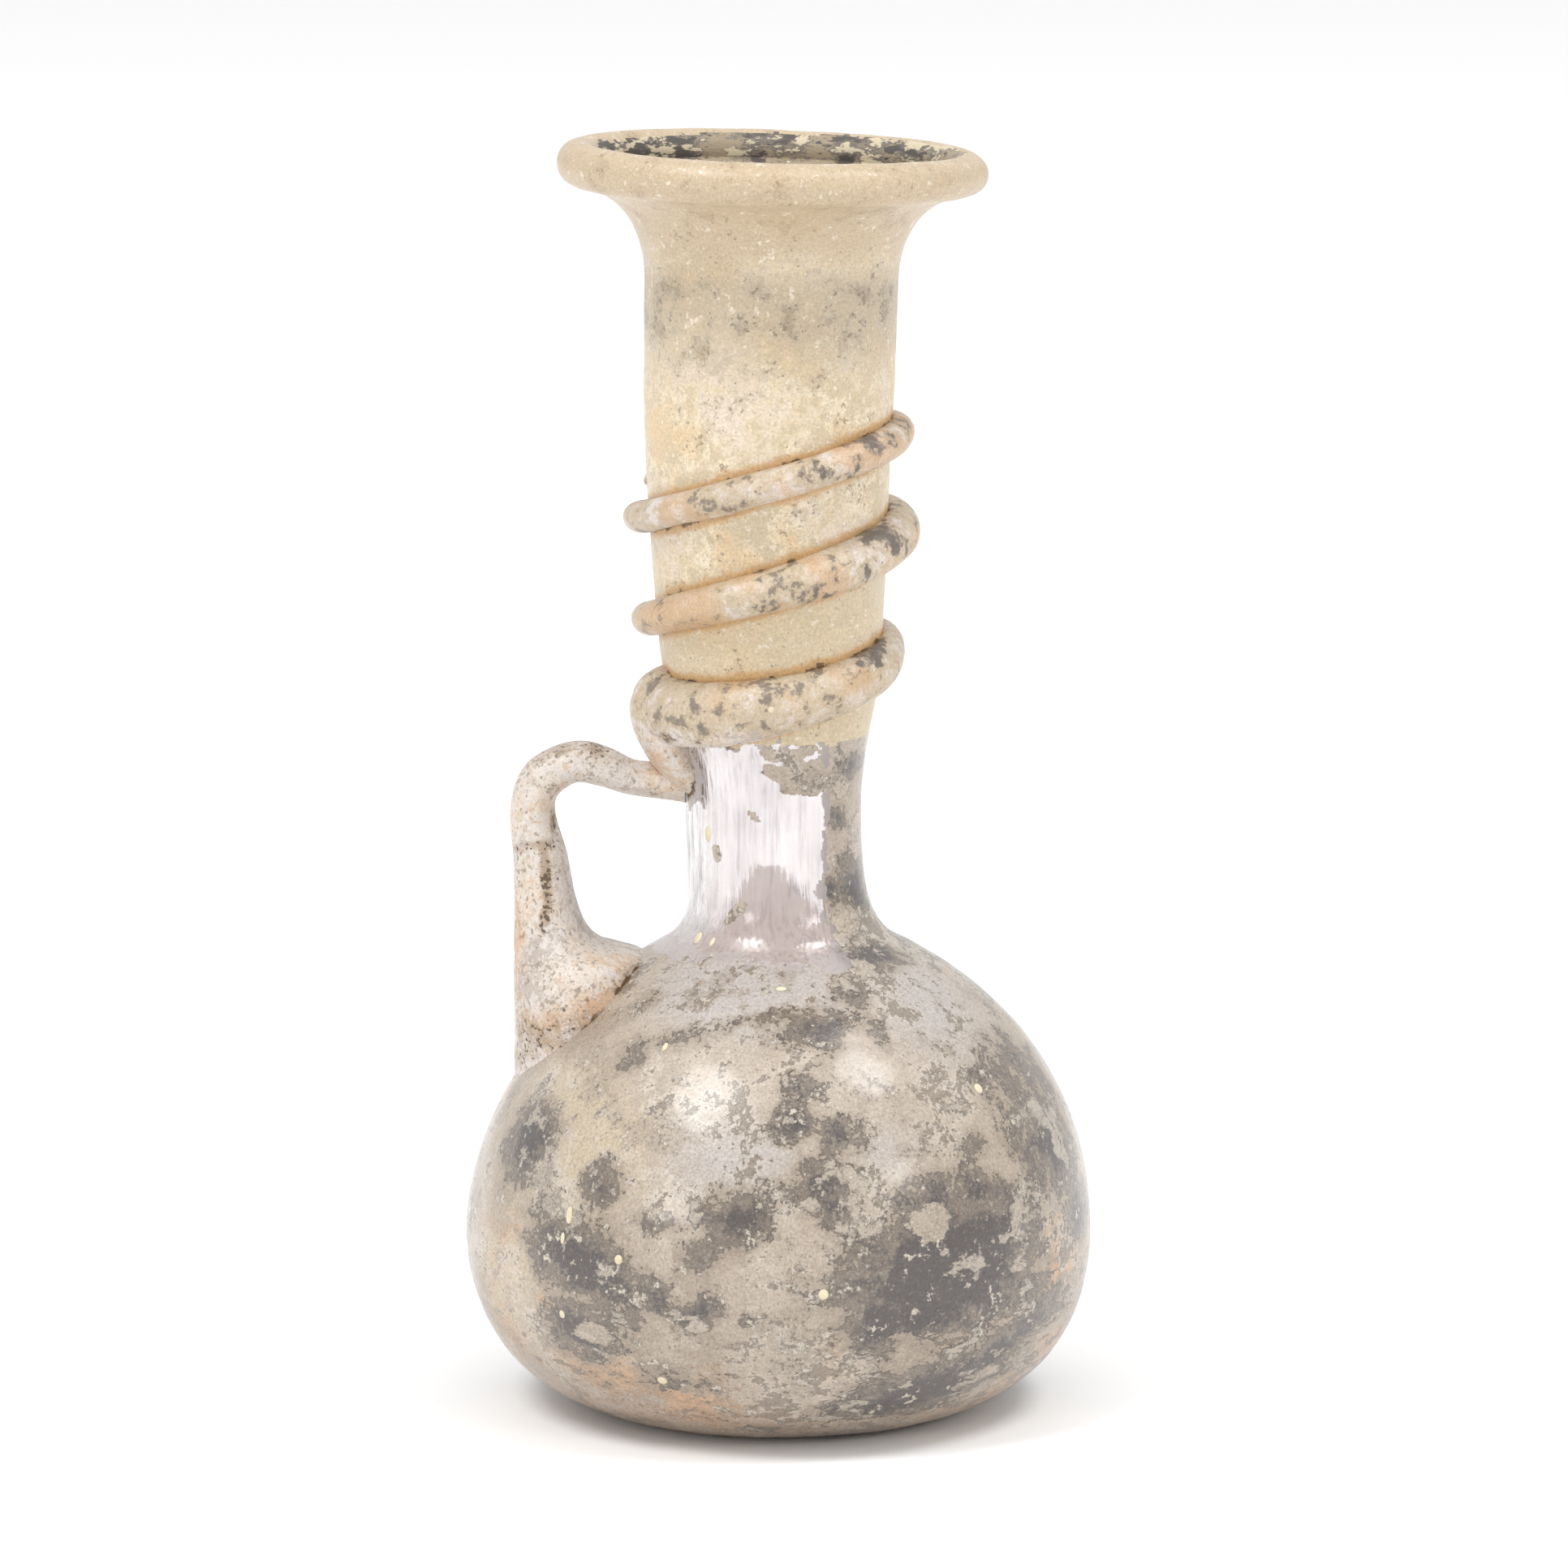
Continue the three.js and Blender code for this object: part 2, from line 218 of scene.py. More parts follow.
def whole_outline():
    """Every stretch of the closed outline, outside and inside."""
    outside = outline_stretches(0)
    roll_end = ROLL_START + 3 * ROLL_ARC
    into_roll = Vector((1, 0, 0.15)).normalized()
    into_mouth = Vector((1, 0, 0.36)).normalized()
    outside.append((outside[-1][1], on_roll(ROLL_START), UP, into_roll, 0.36, 0.45, 20))
    arc_hold = 4 / 3 * math.tan(math.radians(ROLL_ARC) / 4) * ROLL_RADIUS
    for i in range(3):
        first = ROLL_START + i * ROLL_ARC
        last = first + ROLL_ARC
        hold = arc_hold / (on_roll(last) - on_roll(first)).length
        outside.append((on_roll(first), on_roll(last), along_roll(first), along_roll(last), hold, hold, 9))
    inside = outline_stretches(1)
    inside.append((inside[-1][1], on_roll(roll_end), UP, into_mouth, 0.42, 0.45, 12))
    return outside + inside


print("The closed outline has", len(whole_outline()), "stretches")

# %% [markdown]
# A curve object holds the stretches. Turned into a mesh, its ends are merged, and the chain of edges is
# spun about the axis, as the bubble itself was spun on the blowpipe. The doubles at the seam and on the
# axis are merged and the faces are made to point outwards.

# %% Spinning an outline
AROUND = 192
MERGE = 0.002 * MM


def corners(stretch):
    """The four corners of a stretch as a Bezier curve: its ends and the handles between them."""
    start, end, leave, arrive, first_hold, last_hold, steps = stretch
    span = (end - start).length
    return start, start + first_hold * span * leave, end - last_hold * span * arrive, end


def spun(name, stretches):
    """Spins a closed outline to a shell."""
    select_only(None)
    bpy.ops.curve.primitive_bezier_curve_add(location=(0, 0, 0))
    outline = bpy.context.object
    outline.name = name
    outline.data.splines.clear()
    for stretch in stretches:
        start, leaving, arriving, end = corners(stretch)
        spline = outline.data.splines.new("BEZIER")
        spline.bezier_points.add(1)
        spline.resolution_u = max(1, round(stretch[-1]))
        for point, place, before, after in zip(
            spline.bezier_points, (start, end), (start, arriving), (leaving, end)
        ):
            point.handle_left_type = "FREE"
            point.handle_right_type = "FREE"
            point.co = place * MM
            point.handle_left = before * MM
            point.handle_right = after * MM
    bpy.ops.object.convert(target="MESH")
    bpy.ops.object.mode_set(mode="EDIT")
    bpy.ops.mesh.select_all(action="SELECT")
    bpy.ops.mesh.remove_doubles(threshold=MERGE)
    bpy.ops.mesh.spin(steps=AROUND, angle=2 * math.pi, center=(0, 0, 0), axis=(0, 0, 1))
    bpy.ops.mesh.select_all(action="SELECT")
    bpy.ops.mesh.remove_doubles(threshold=MERGE)
    bpy.ops.mesh.normals_make_consistent(inside=False)
    bpy.ops.object.mode_set(mode="OBJECT")
    return outline


bubble = spun("bubble", whole_outline())
print("The bubble has", len(bubble.data.polygons), "faces")

# %% [markdown]
# The handle and the thread were put on from outside and don't reach into the flask. A second shell in
# the middle of the bubble's wall, closed across the mouth, will cut off what would reach in.

# %% The core
core_outline = outline_stretches(0.5)
core_top = core_outline[-1][1]
lid_rim = Vector((core_top.x, 0, RIM_HEIGHT))
lid_centre = Vector((0, 0, RIM_HEIGHT))
core_outline.append((core_top, lid_rim, UP, UP, 0.3, 0.3, 1))
core_outline.append((lid_rim, lid_centre, -OUT, -OUT, 0.3, 0.3, 1))
core = spun("core", core_outline)
print("The core has", len(core.data.polygons), "faces")

# %% [markdown]
# Nothing blown by hand is true. Seen from the front, the flask's middle line sways a little from side to
# side, and the rim is lower on the right than on the left. One function says how far the middle line is
# off at a height, and another moves a piece's points by it.

# %% Sway
RIM_DIP = 0.65
SWAY_STOPS = [(0, 0.2), (16, 0), (38, 0.65), (57, -0.5), (90, -0.95), (120, -0.5)]


def sway(height):
    """How far the middle line lies to the right at a height."""
    moved = SWAY_STOPS[0][1]
    for (start, before), (end, after) in zip(SWAY_STOPS, SWAY_STOPS[1:]):
        moved += (after - before) * smooth_step(height, start, end)
    return moved


def make_untrue(piece):
    """Sways a piece and dips its rim."""
    for vertex in piece.data.vertices:
        x, height = vertex.co.x / MM, vertex.co.z / MM
        dip = RIM_DIP * x / RIM_RADIUS * smooth_step(height, NECK_TOP_HEIGHT, RIM_HEIGHT)
        vertex.co.x += sway(height) * MM
        vertex.co.z -= dip * MM


make_untrue(bubble)
make_untrue(core)
print("At mid height the middle line is", round(sway(60), 2), "mm off")

# %% [markdown]
# The applied glass is placed by the outline. These functions read from it how wide the neck is at a
# height, how far it reaches towards the handle, and how high the shoulder is at a distance from the axis.

# %% Places on the bubble
LINE_STEPS = 40


def outline_points(first, last):
    """The points of some stretches of the outside."""
    points = []
    for stretch in outline_stretches(0)[first:last]:
        points += interpolate_bezier(*corners(stretch), LINE_STEPS)
    return points


NECK_LINE = outline_points(4, 7)
DOME_LINE = outline_points(3, 4)


def neck_radius(height):
    """The outside radius of the neck at a height."""
    for a, b in zip(NECK_LINE, NECK_LINE[1:]):
        if a.z <= height <= b.z and b.z > a.z:
            return blend(a.x, b.x, (height - a.z) / (b.z - a.z))
    return NECK_TOP_RADIUS


def neck_reach(height):
    """How far the neck reaches to the handle's side at a height."""
    return neck_radius(height) - sway(height)


def dome_height(distance):
    """How high the shoulder is at a distance from the axis."""
    return min(DOME_LINE, key=lambda p: abs(p.x - distance)).z


print("The neck's radius is", [round(neck_radius(z), 2) for z in (50, 60, 70, 80, 90, 100)])

# %% [markdown]
# Handle, fold and thread are rods of hot glass, drawn out and laid down. Each is made the same way. A
# filled circle is the end of the rod. It is extruded again and again, and each time the new end is laid
# into the next section: a centre and two half axes, which may lean and may be wider than thick. A list
# of a few stops is first rounded off to a smooth run, so that the rod bends like glass and not like wire.

# %% Drawing out a rod
def through(stops, steps):
    """Rounds a list of stops off to a smooth run with so many steps between two stops."""
    run = []
    last = len(stops) - 1
    for i in range(last):
        before, start, end, after = (stops[min(max(k, 0), last)] for k in range(i - 1, i + 3))
        for step in range(steps):
            t = step / steps
            run.append(
                tuple(
                    q + t / 2 * (r - p + t * (2 * p - 5 * q + 4 * r - s + t * (3 * (q - r) + s - p)))
                    for p, q, r, s in zip(before, start, end, after)
                )
            )
    run.append(tuple(stops[-1]))
    return run


def lay_end(rod, section, next_section):
    """Moves the selected end of a rod from one section to the next."""
    centre, wide, tall = section
    next_centre, next_wide, next_tall = next_section
    mesh = bmesh.from_edit_mesh(rod.data)
    for vertex in mesh.verts:
        if vertex.select:
            offset = vertex.co - centre
            across = offset.dot(wide) / wide.length_squared
            along = offset.dot(tall) / tall.length_squared
            vertex.co = next_centre + across * next_wide + along * next_tall
    bmesh.update_edit_mesh(rod.data)


def drawn_rod(name, sections, sides):
    """Draws a rod out through its sections."""
    select_only(None)
    bpy.ops.mesh.primitive_circle_add(vertices=sides, radius=1, fill_type="NGON", location=(0, 0, 0))
    rod = bpy.context.object
    rod.name = name
    bpy.ops.object.mode_set(mode="EDIT")
    bpy.ops.mesh.select_all(action="SELECT")
    lay_end(rod, (Vector(), OUT, Vector((0, 1, 0))), sections[0])
    bpy.ops.mesh.duplicate()
    for section, next_section in zip(sections, sections[1:]):
        bpy.ops.mesh.extrude_region_move()
        lay_end(rod, section, next_section)
    bpy.ops.mesh.select_all(action="SELECT")
    bpy.ops.mesh.remove_doubles(threshold=MERGE)
    bpy.ops.mesh.normals_make_consistent(inside=False)
    bpy.ops.object.mode_set(mode="OBJECT")
    return rod


STRAP_STEPS = 6
STRAP_SIDES = 40


def strap(name, stops, turn):
    """A strap in an upright plane through the axis, turned so far from the left side to the front.

    Each stop is (distance from the axis, height, direction, thickness, width), and the direction is 0
    degrees where the strap runs inwards and 90 where it rises."""
    angle = math.radians(180 + turn)
    outward = Vector((math.cos(angle), math.sin(angle), 0))
    aside = UP.cross(outward)
    sections = []
    for distance, height, run, thick, wide in through(stops, STRAP_STEPS):
        lean = math.radians(run)
        normal = math.sin(lean) * outward + math.cos(lean) * UP
        centre = distance * outward + height * UP
        sections.append((centre * MM, normal * thick / 2 * MM, aside * wide / 2 * MM))
    return drawn_rod(name, sections, STRAP_SIDES)


print("A rod's section can lean, so a strap follows its bends")

# %% [markdown]
# The handle begins as a thick foot on the shoulder, which spreads and is trimmed level inside. The strap
# rises almost upright, turns in over an arch, dips and thins, and ends in a pad pressed on the neck.

# %% The handle
HANDLE_REACH = 25.1
PAD_HEIGHT = 59.8
FOOT_DEPTH = 12.8
FOOT_WIDTH = 17.0
STRAP_THICKNESS = 5.1
STRAP_WIDTH = 6.6
ARCH_THICKNESS = 4.0
ARCH_WIDTH = 5.4
ARCH_LIFT = 1.7


def handle():
    """The handle from its foot to its pad."""
    heel = dome_height(HANDLE_REACH + 0.65)
    instep = dome_height(HANDLE_REACH - FOOT_DEPTH)
    arch = PAD_HEIGHT + ARCH_LIFT
    foot = HANDLE_REACH - FOOT_DEPTH / 2
    riser = HANDLE_REACH - STRAP_THICKNESS / 2
    bend = HANDLE_REACH - ARCH_THICKNESS / 2
    pad = neck_reach(PAD_HEIGHT)

    def in_foot(height, thick, wide):
        return foot, height, 90, thick * FOOT_DEPTH, wide * FOOT_WIDTH

    def in_riser(inwards, height, thick, wide):
        return riser - inwards, height, 90, thick * STRAP_THICKNESS, wide * STRAP_WIDTH

    def in_arch(share, height, run, thick, wide):
        return blend(bend, pad, share), height, run, thick * ARCH_THICKNESS, wide * ARCH_WIDTH

    stops = [
        in_foot(heel - 2, 1, 0.75),
        in_foot((heel + instep) / 2, 1, 1),
        in_foot(instep - 2.2, 1, 0.94),
        in_foot(instep - 0.9, 0.99, 0.84),
        in_riser(2.9, instep - 0.2, 2.15, 1.9),
        in_riser(1.7, instep + 0.5, 1.68, 1.66),
        in_riser(0.9, instep + 2, 1.35, 1.42),
        in_riser(0.4, instep + 4.7, 1.14, 1.18),
        in_riser(0, (instep + arch) / 2, 1, 1),
        in_arch(-0.01, arch - 4.5, 84, 1.08, 1.1),
        in_arch(0.06, arch - 1.6, 45, 1.05, 1.05),
        in_arch(0.27, arch, 0, 1, 1),
        in_arch(0.46, arch - 0.4, -20, 0.95, 0.95),
        in_arch(0.64, arch - 1.4, -14, 0.84, 0.87),
        in_arch(0.82, PAD_HEIGHT, -3, 0.88, 0.92),
        in_arch(1.01, PAD_HEIGHT - 0.1, 0, 1.02, 1.05),
    ]
    return strap("handle", stops, 0)


handle_rod = handle()
print("The handle has", len(handle_rod.data.polygons), "faces")

# %% [markdown]
# Over the pad the maker pushed the glass back up into a fat fold before drawing it off as a thread. The
# fold leans a little to the front.

# %% The fold
FOLD_HEIGHT = 11.0
FOLD_STANDS_OUT = 4.1
FOLD_THICKNESS = 5.1
FOLD_WIDTH = 7.4
FOLD_TURN = 10


def fold():
    """The fold over the pad."""
    out = FOLD_STANDS_OUT - FOLD_THICKNESS / 2

    def stop(rise, stands, run, thick, wide):
        height = PAD_HEIGHT + rise * FOLD_HEIGHT
        return neck_reach(height) + stands, height, run, thick * FOLD_THICKNESS, wide * FOLD_WIDTH

    stops = [
        stop(-0.02, -1.6, 155, 0.6, 0.6),
        stop(0.1, -0.2, 135, 0.72, 0.78),
        stop(0.32, 0.72 * out, 112, 0.88, 0.95),
        stop(0.62, out, 88, 1, 1),
        stop(0.84, 0.2 * out, 66, 0.82, 0.88),
        stop(0.95, -0.7 * out, 45, 0.5, 0.6),
    ]
    return strap("fold", stops, FOLD_TURN)


fold_rod = fold()
print("The fold has", len(fold_rod.data.polygons), "faces")

# %% [markdown]
# The thread leaves the fold to the front and winds three times round the neck, thick at first and thin
# at the end. It is listed by half turns, from the handle's side to the right, round the back and so on:
# how far it climbs to there, how tall it is and how far it stands out.

# %% The thread
THREAD_START = 67.0
THREAD_SAG = 1.1
THREAD_STEPS = 36
THREAD_TIP = 9
THREAD_SIDES = 28
WOBBLE = 0.16
SWELL = 0.09
THREAD = [
    (0.0, 6.8, 3.7),
    (5.3, 4.3, 2.2),
    (2.9, 3.3, 2.5),
    (8.3, 4.8, 3.1),
    (1.4, 3.0, 2.4),
    (8.0, 3.3, 2.1),
    (-4.8, 1.1, 0.6),
]


def thread():
    """The thread, laid round the neck and swayed with it."""
    height = THREAD_START
    stops = []
    for climb, tall, stands_out in THREAD:
        height += climb
        stops.append((height, tall, stands_out))
    sections = []
    run = through(stops, THREAD_STEPS)
    for i, (height, tall, stands_out) in enumerate(run):
        place = i / THREAD_STEPS
        to_end = min(1, (len(run) - 1 - i) / THREAD_TIP)
        tip = max(0.15, math.sqrt(1 - (1 - to_end) ** 2))
        angle = math.pi * (1 + place)
        height -= THREAD_SAG * math.sin(math.pi * place) if place < 1 else 0
        wobble = WOBBLE * noise.noise(Vector((place * 5.1, 3.7, 0)))
        outward = Vector((math.cos(angle), math.sin(angle), 0))
        centre = outward * (neck_radius(height) + stands_out / 4)
        centre += Vector((sway(height), 0, height + wobble))
        swell = tip * (1 + SWELL * noise.noise(Vector((place * 3.3, 9.1, 0))))
        wide = outward * 0.75 * stands_out * swell
        sections.append((centre * MM, wide * MM, UP * swell * tall / 2 * MM))
    return drawn_rod("thread", sections, THREAD_SIDES)


thread_rod = thread()
print("The thread has", len(thread_rod.data.polygons), "faces")

# %% [markdown]
# Now the glass is joined while hot. The three rods are united, what would reach into the flask is cut
# off by the core, and the rest is fused to the bubble. The pieces as they were before are kept a while
# as search trees, because the dirt will lie in the seams between them.

# %% Fusing the pieces
def search_tree(*pieces):
    """A tree that finds the nearest point on some pieces."""
    points = []
    faces = []
    for piece in pieces:
        first = len(points)
        points += [vertex.co.copy() for vertex in piece.data.vertices]
        faces += [[first + v for v in face.vertices] for face in piece.data.polygons]
    return BVHTree.FromPolygons(points, faces)


bubble_tree = search_tree(bubble)
core_tree = search_tree(core)
applied_tree = search_tree(handle_rod, fold_rod, thread_rod)


def fuse(piece, other, operation):
    """Joins another piece to this one, or cuts it off, and removes the other."""
    apply_modifier(piece, operation, "BOOLEAN", operation=operation, object=other, solver="MANIFOLD")
    bpy.data.objects.remove(other)


fuse(handle_rod, fold_rod, "UNION")
fuse(handle_rod, thread_rod, "UNION")
fuse(handle_rod, core, "DIFFERENCE")
fuse(bubble, handle_rod, "UNION")
glass = bubble
glass.name = "flask_glass"
glass.data.materials.clear()
print("The fused glass has", len(glass.data.polygons), "faces")

# %% [markdown]
# Buried glass weathers. Its surface turns to thin layers that flake off and leave patches, so what a
# place looks like depends on where it is. The patches are listed as a restorer would map them:
# the angle from the front (positive to the right), the height, half the size across and along, how many
# degrees it leans up to the right, and how strong it is. The unseen back gets plainer ones from noise.

# %% A map of the weathering
DARK_PATCHES = [
    (-60, 28.1, 4.2, 3.6, 10, 1.1),
    (-49, 23.7, 1.1, 2.2, 0, 0.8),
    (-35, 25.9, 2.4, 2.2, 0, 0.85),
    (-38, 36.5, 1.4, 1.6, -30, 0.8),
    (-44, 41.3, 1.5, 1.6, 0, 0.55),
    (-28, 38.5, 4.0, 1.5, 12, 0.65),
    (-8, 40.0, 4.4, 1.3, 12, 0.55),
    (-38, 18.3, 6.9, 3.2, -15, 1.0),
    (-39, 11.9, 4.3, 2.9, 0, 1.0),
    (-27, 15.0, 1.9, 2.4, 0, 0.7),
    (-22, 15.7, 2.0, 2.0, 0, 0.8),
    (-14, 14.9, 2.3, 1.4, 10, 0.9),
    (-6, 14.3, 1.0, 1.0, 0, 0.7),
    (-8, 23.8, 3.2, 2.4, 0, 1.0),
    (-22, 23.0, 2.8, 1.2, 0, 0.7),
    (-14, 20.5, 2.2, 1.4, 0, 0.75),
    (-20, 7.8, 4.5, 1.7, 0, 0.6),
    (26, 41.8, 1.9, 2.1, 0, 0.9),
    (12, 39.5, 3.2, 2.1, -10, 0.9),
    (27, 39.0, 1.4, 3.1, 0, 0.6),
    (12, 36.6, 1.3, 1.3, 0, 0.55),
    (31, 35.9, 0.8, 1.0, 0, 0.5),
    (6, 34.9, 2.2, 1.4, 0, 0.75),
    (3, 31.8, 2.8, 1.8, 0, 0.85),
    (13, 30.7, 2.4, 2.0, 0, 0.9),
    (21, 33.7, 1.4, 0.8, 0, 0.5),
    (40, 32.5, 1.7, 1.3, 0, 0.6),
    (52, 34.0, 3.3, 1.9, 0, 0.6),
    (68, 31.8, 7.6, 7.2, 0, 0.7),
    (67, 26.8, 5.6, 4.4, 0, 1.0),
    (42, 29.0, 2.6, 1.8, 0, 0.7),
    (9, 26.7, 4.0, 2.2, 0, 0.95),
    (10, 24.6, 3.0, 2.2, 0, 0.9),
    (36, 24.8, 7.6, 2.4, 0, 0.9),
    (33, 18.3, 9.6, 5.4, 10, 1.3),
    (19, 13.9, 3.2, 3.1, 0, 1.0),
    (52, 14.6, 4.8, 1.5, 15, 0.8),
    (74, 20.0, 3.8, 2.9, 0, 1.0),
    (48, 9.8, 9.4, 2.2, 22, 0.9),
    (30, 6.1, 9.6, 3.2, 14, 1.1),
    (30, 15.5, 6.5, 3.6, 10, 1.2),
    (2, 2.6, 5.3, 1.6, 0, 0.6),
    (38, 92.0, 5.0, 2.4, 20, 0.9),
    (50, 83.0, 4.5, 2.6, 20, 0.9),
    (5, 79.0, 6.0, 2.2, 16, 0.7),
    (55, 73.5, 4.0, 2.4, 20, 0.8),
    (-40, 67.0, 3.2, 2.4, 0, 0.8),
    (-70, 87.0, 3.0, 2.6, 0, 0.8),
    (60, 61.9, 2.6, 1.2, 0, 1.0),
    (44, 57.3, 1.5, 1.4, 0, 0.9),
    (62, 50.7, 2.4, 3.0, 0, 1.1),
    (37, 50.2, 0.8, 1.7, 0, 0.9),
    (48, 44.2, 4.2, 2.2, 0, 1.1),
]
FLAKES = [
    (45, 47.4, 2.4, 1.4, 20, 1.0),
    (72, 55.0, 1.8, 2.6, -10, 1.0),
    (45, 59.6, 1.6, 1.3, 0, 0.9),
    (29, 22.5, 2.6, 1.4, 0, 1.0),
    (-36, 11.9, 2.3, 1.2, -8, 1.0),
    (27, 11.7, 2.1, 0.9, 12, 0.9),
    (42, 6.7, 3.7, 1.0, 14, 0.8),
    (26, 7.1, 2.1, 0.7, 12, 0.7),
    (48, 17.2, 1.0, 0.6, 0, 0.8),
    (-46, 23.4, 1.9, 1.4, 0, 0.5),
]
PEACH_PATCHES = [
    (63, 16.8, 7.1, 3.7, 0, 0.8),
    (10, 9.8, 1.8, 2.5, 0, 0.7),
    (38, 12.3, 8.5, 3.0, 15, 0.6),
    (64, 5.3, 5.8, 3.8, 30, 0.9),
    (-47, 13.3, 1.8, 2.8, 0, 0.7),
    (-37, 8.0, 7.2, 2.9, -15, 0.8),
    (-17, 5.4, 4.6, 4.2, 0, 0.8),
    (-64, 9.3, 4.9, 5.3, 0, 0.6),
    (-61, 17.6, 4.9, 4.6, 0, 0.4),
]
CREAM_PATCHES = [
    (-42, 28.5, 8.3, 6.9, 0, 0.8),
    (-60, 16.5, 5.3, 6.9, 0, 0.9),
    (-53, 32.4, 7.6, 4.9, 0, 0.8),
]
PALE_PATCHES = [
    (-9, 43.0, 8.1, 5.2, 0, 1.0),
    (51, 40.6, 6.4, 7.5, 0, 0.7),
    (-8, 29.0, 7.0, 4.0, 0, 0.6),
    (20, 29.5, 5.0, 3.0, 0, 0.5),
]
# The same for the handle, but with its places as seen from the front: x and height.
HANDLE_STAINS = [
    (-21.9, 50.6, 0.32, 2.6, 4, 1.2),
    (-22.0, 47.4, 0.4, 1.3, -10, 1.1),
    (-23.8, 53.8, 2.4, 0.3, 9, 0.9),
    (-21.3, 56.0, 0.3, 1.2, 0, 0.9),
    (-22.0, 64.4, 2.8, 1.3, 10, 0.7),
    (-17.4, 64.0, 0.7, 1.5, 30, 0.9),
    (-10.4, 64.9, 0.5, 0.4, 0, 1.2),
    (-22.2, 36.4, 3.0, 1.4, 20, 0.6),
    (-24.0, 34.2, 1.8, 0.8, 30, 0.7),
]
HANDLE_PEACH = [
    (-25.0, 44.0, 1.2, 4.5, 0, 1.0),
    (-17.5, 39.0, 4.0, 1.8, 30, 1.0),
    (-22.0, 38.0, 3.5, 1.5, 0, 0.8),
    (-11.5, 62.5, 1.6, 2.6, 0, 0.9),
    (-21.0, 66.0, 4.0, 0.8, 0, 0.7),
]
print("There are", len(DARK_PATCHES), "dark patches on the front")

# %% [markdown]
# A patch is an ellipse that fades outwards from its middle. Where patches overlap, the stronger one
# counts. Behind, which the photograph doesn't show, soft clouds take over bit by bit.

# %% Reading the map
OUTSIDE_LINE = outline_points(2, 7)
BACK_START = 68
BACK_FADE = 25
BACK_TOP = SHOULDER_HEIGHT + 3
ON_BUBBLE = 0.5


def outside_radius(height):
    """The outside radius at a height above the ring."""
    return min(OUTSIDE_LINE, key=lambda p: abs(p.z - height)).x


def patch_depth(across, along, half_across, half_along, lean, strength):
    """How deep places lie in a patch: its strength in the middle, half of that at the edge."""
    turn = math.radians(lean)
    u = (across * math.cos(turn) + along * math.sin(turn)) / half_across
    v = (along * math.cos(turn) - across * math.sin(turn)) / half_along
    return strength * np.clip(1 - np.sqrt(u**2 + v**2) / 2, 0, 1)


def patch_field(points, patches):
    """How deep each point lies in the patches of the bubble."""
    field = np.zeros(len(points))
    for degrees, height, *shape in patches:
        angle = math.radians(degrees)
        radius = outside_radius(height)
        offset = points - np.array([radius * math.sin(angle), -radius * math.cos(angle), height])
        across = offset @ np.array([math.cos(angle), math.sin(angle), 0])
        along = np.sqrt(np.maximum((offset**2).sum(axis=1) - across**2, 0)) * np.sign(offset[:, 2])
        field = np.maximum(field, patch_depth(across, along, *shape))
    return field


def handle_field(points, patches):
    """How deep each point lies in the patches of the handle."""
    field = np.zeros(len(points))
    for x, height, *shape in patches:
        field = np.maximum(field, patch_depth(points[:, 0] - x, points[:, 2] - height, *shape))
    return field


def clouds_behind(size, seed, strength, taken_off):
    """Soft clouds on the back, of a size in millimetres."""
    shift = Vector((seed, 2 * seed, 3 * seed))
    clouds = np.array([0.5 + 0.5 * noise.noise(Vector(p) / size + shift) for p in points])
    return behind * (clouds * strength - taken_off)


points = np.array([vertex.co for vertex in glass.data.vertices]) / MM
front_angle = np.degrees(np.arctan2(points[:, 0], -points[:, 1]))
behind = np.clip((np.abs(front_angle) - BACK_START) / BACK_FADE, 0, 1)
behind *= points[:, 2] < BACK_TOP
reach = np.array([outside_radius(height) for height in points[:, 2]]) + ON_BUBBLE
behind *= np.hypot(points[:, 0], points[:, 1]) < reach
print(int((behind > 0).sum()), "of", len(points), "points lie behind")

# %% [markdown]
# Dirt stays in the seams where the handle, the fold and the thread meet the bubble. A point lies in a
# seam when it is near both the bubble and the applied glass. The fields are stored as attributes of the
# mesh's points, where the materials read them.

# %% Storing the fields
SEAM_REACH = 1.1


def seam_field(piece):
    """1 in the seams between the bubble and what was applied, and 0 away from them."""
    field = []
    for vertex in piece.data.vertices:
        apart = 0
        for tree in (bubble_tree, applied_tree):
            nearest = tree.find_nearest(vertex.co, SEAM_REACH * MM)
            apart += nearest[3] / MM if nearest[0] else SEAM_REACH
        field.append(max(0, 1 - apart / SEAM_REACH))
    return np.array(field)


def store(piece, name, field):
    """Stores a field as an attribute of the piece's points."""
    attribute = piece.data.attributes.new(name, "FLOAT", "POINT")
    attribute.data.foreach_set("value", np.asarray(field, dtype=np.float32))


dark_behind = clouds_behind(size=11, seed=1, strength=1.5, taken_off=0.3)
peach_behind = clouds_behind(size=14, seed=2, strength=1.6, taken_off=0.6)
pale_behind = clouds_behind(size=16, seed=3, strength=1.4, taken_off=0.5)
store(glass, "dark", np.maximum(patch_field(points, DARK_PATCHES), dark_behind))
store(glass, "flake", patch_field(points, FLAKES))
store(glass, "peach", np.maximum(patch_field(points, PEACH_PATCHES), peach_behind))
store(glass, "cream", patch_field(points, CREAM_PATCHES))
store(glass, "pale", np.maximum(patch_field(points, PALE_PATCHES), pale_behind))
store(glass, "seam", seam_field(glass))
store(glass, "stain", handle_field(points, HANDLE_STAINS))
store(glass, "orange", handle_field(points, HANDLE_PEACH))
print("Stored the attributes", [a.name for a in glass.data.attributes if a.data_type == "FLOAT"])

# %% [markdown]
# The flask has six finishes. Round the foot of the neck the crust has come off and leaves a window of
# clear glass, with a ragged border, a strip of crust on its right, and the crust behind it rising in a
# dome. Every face is sorted: applied glass, inside, window, neck or body.

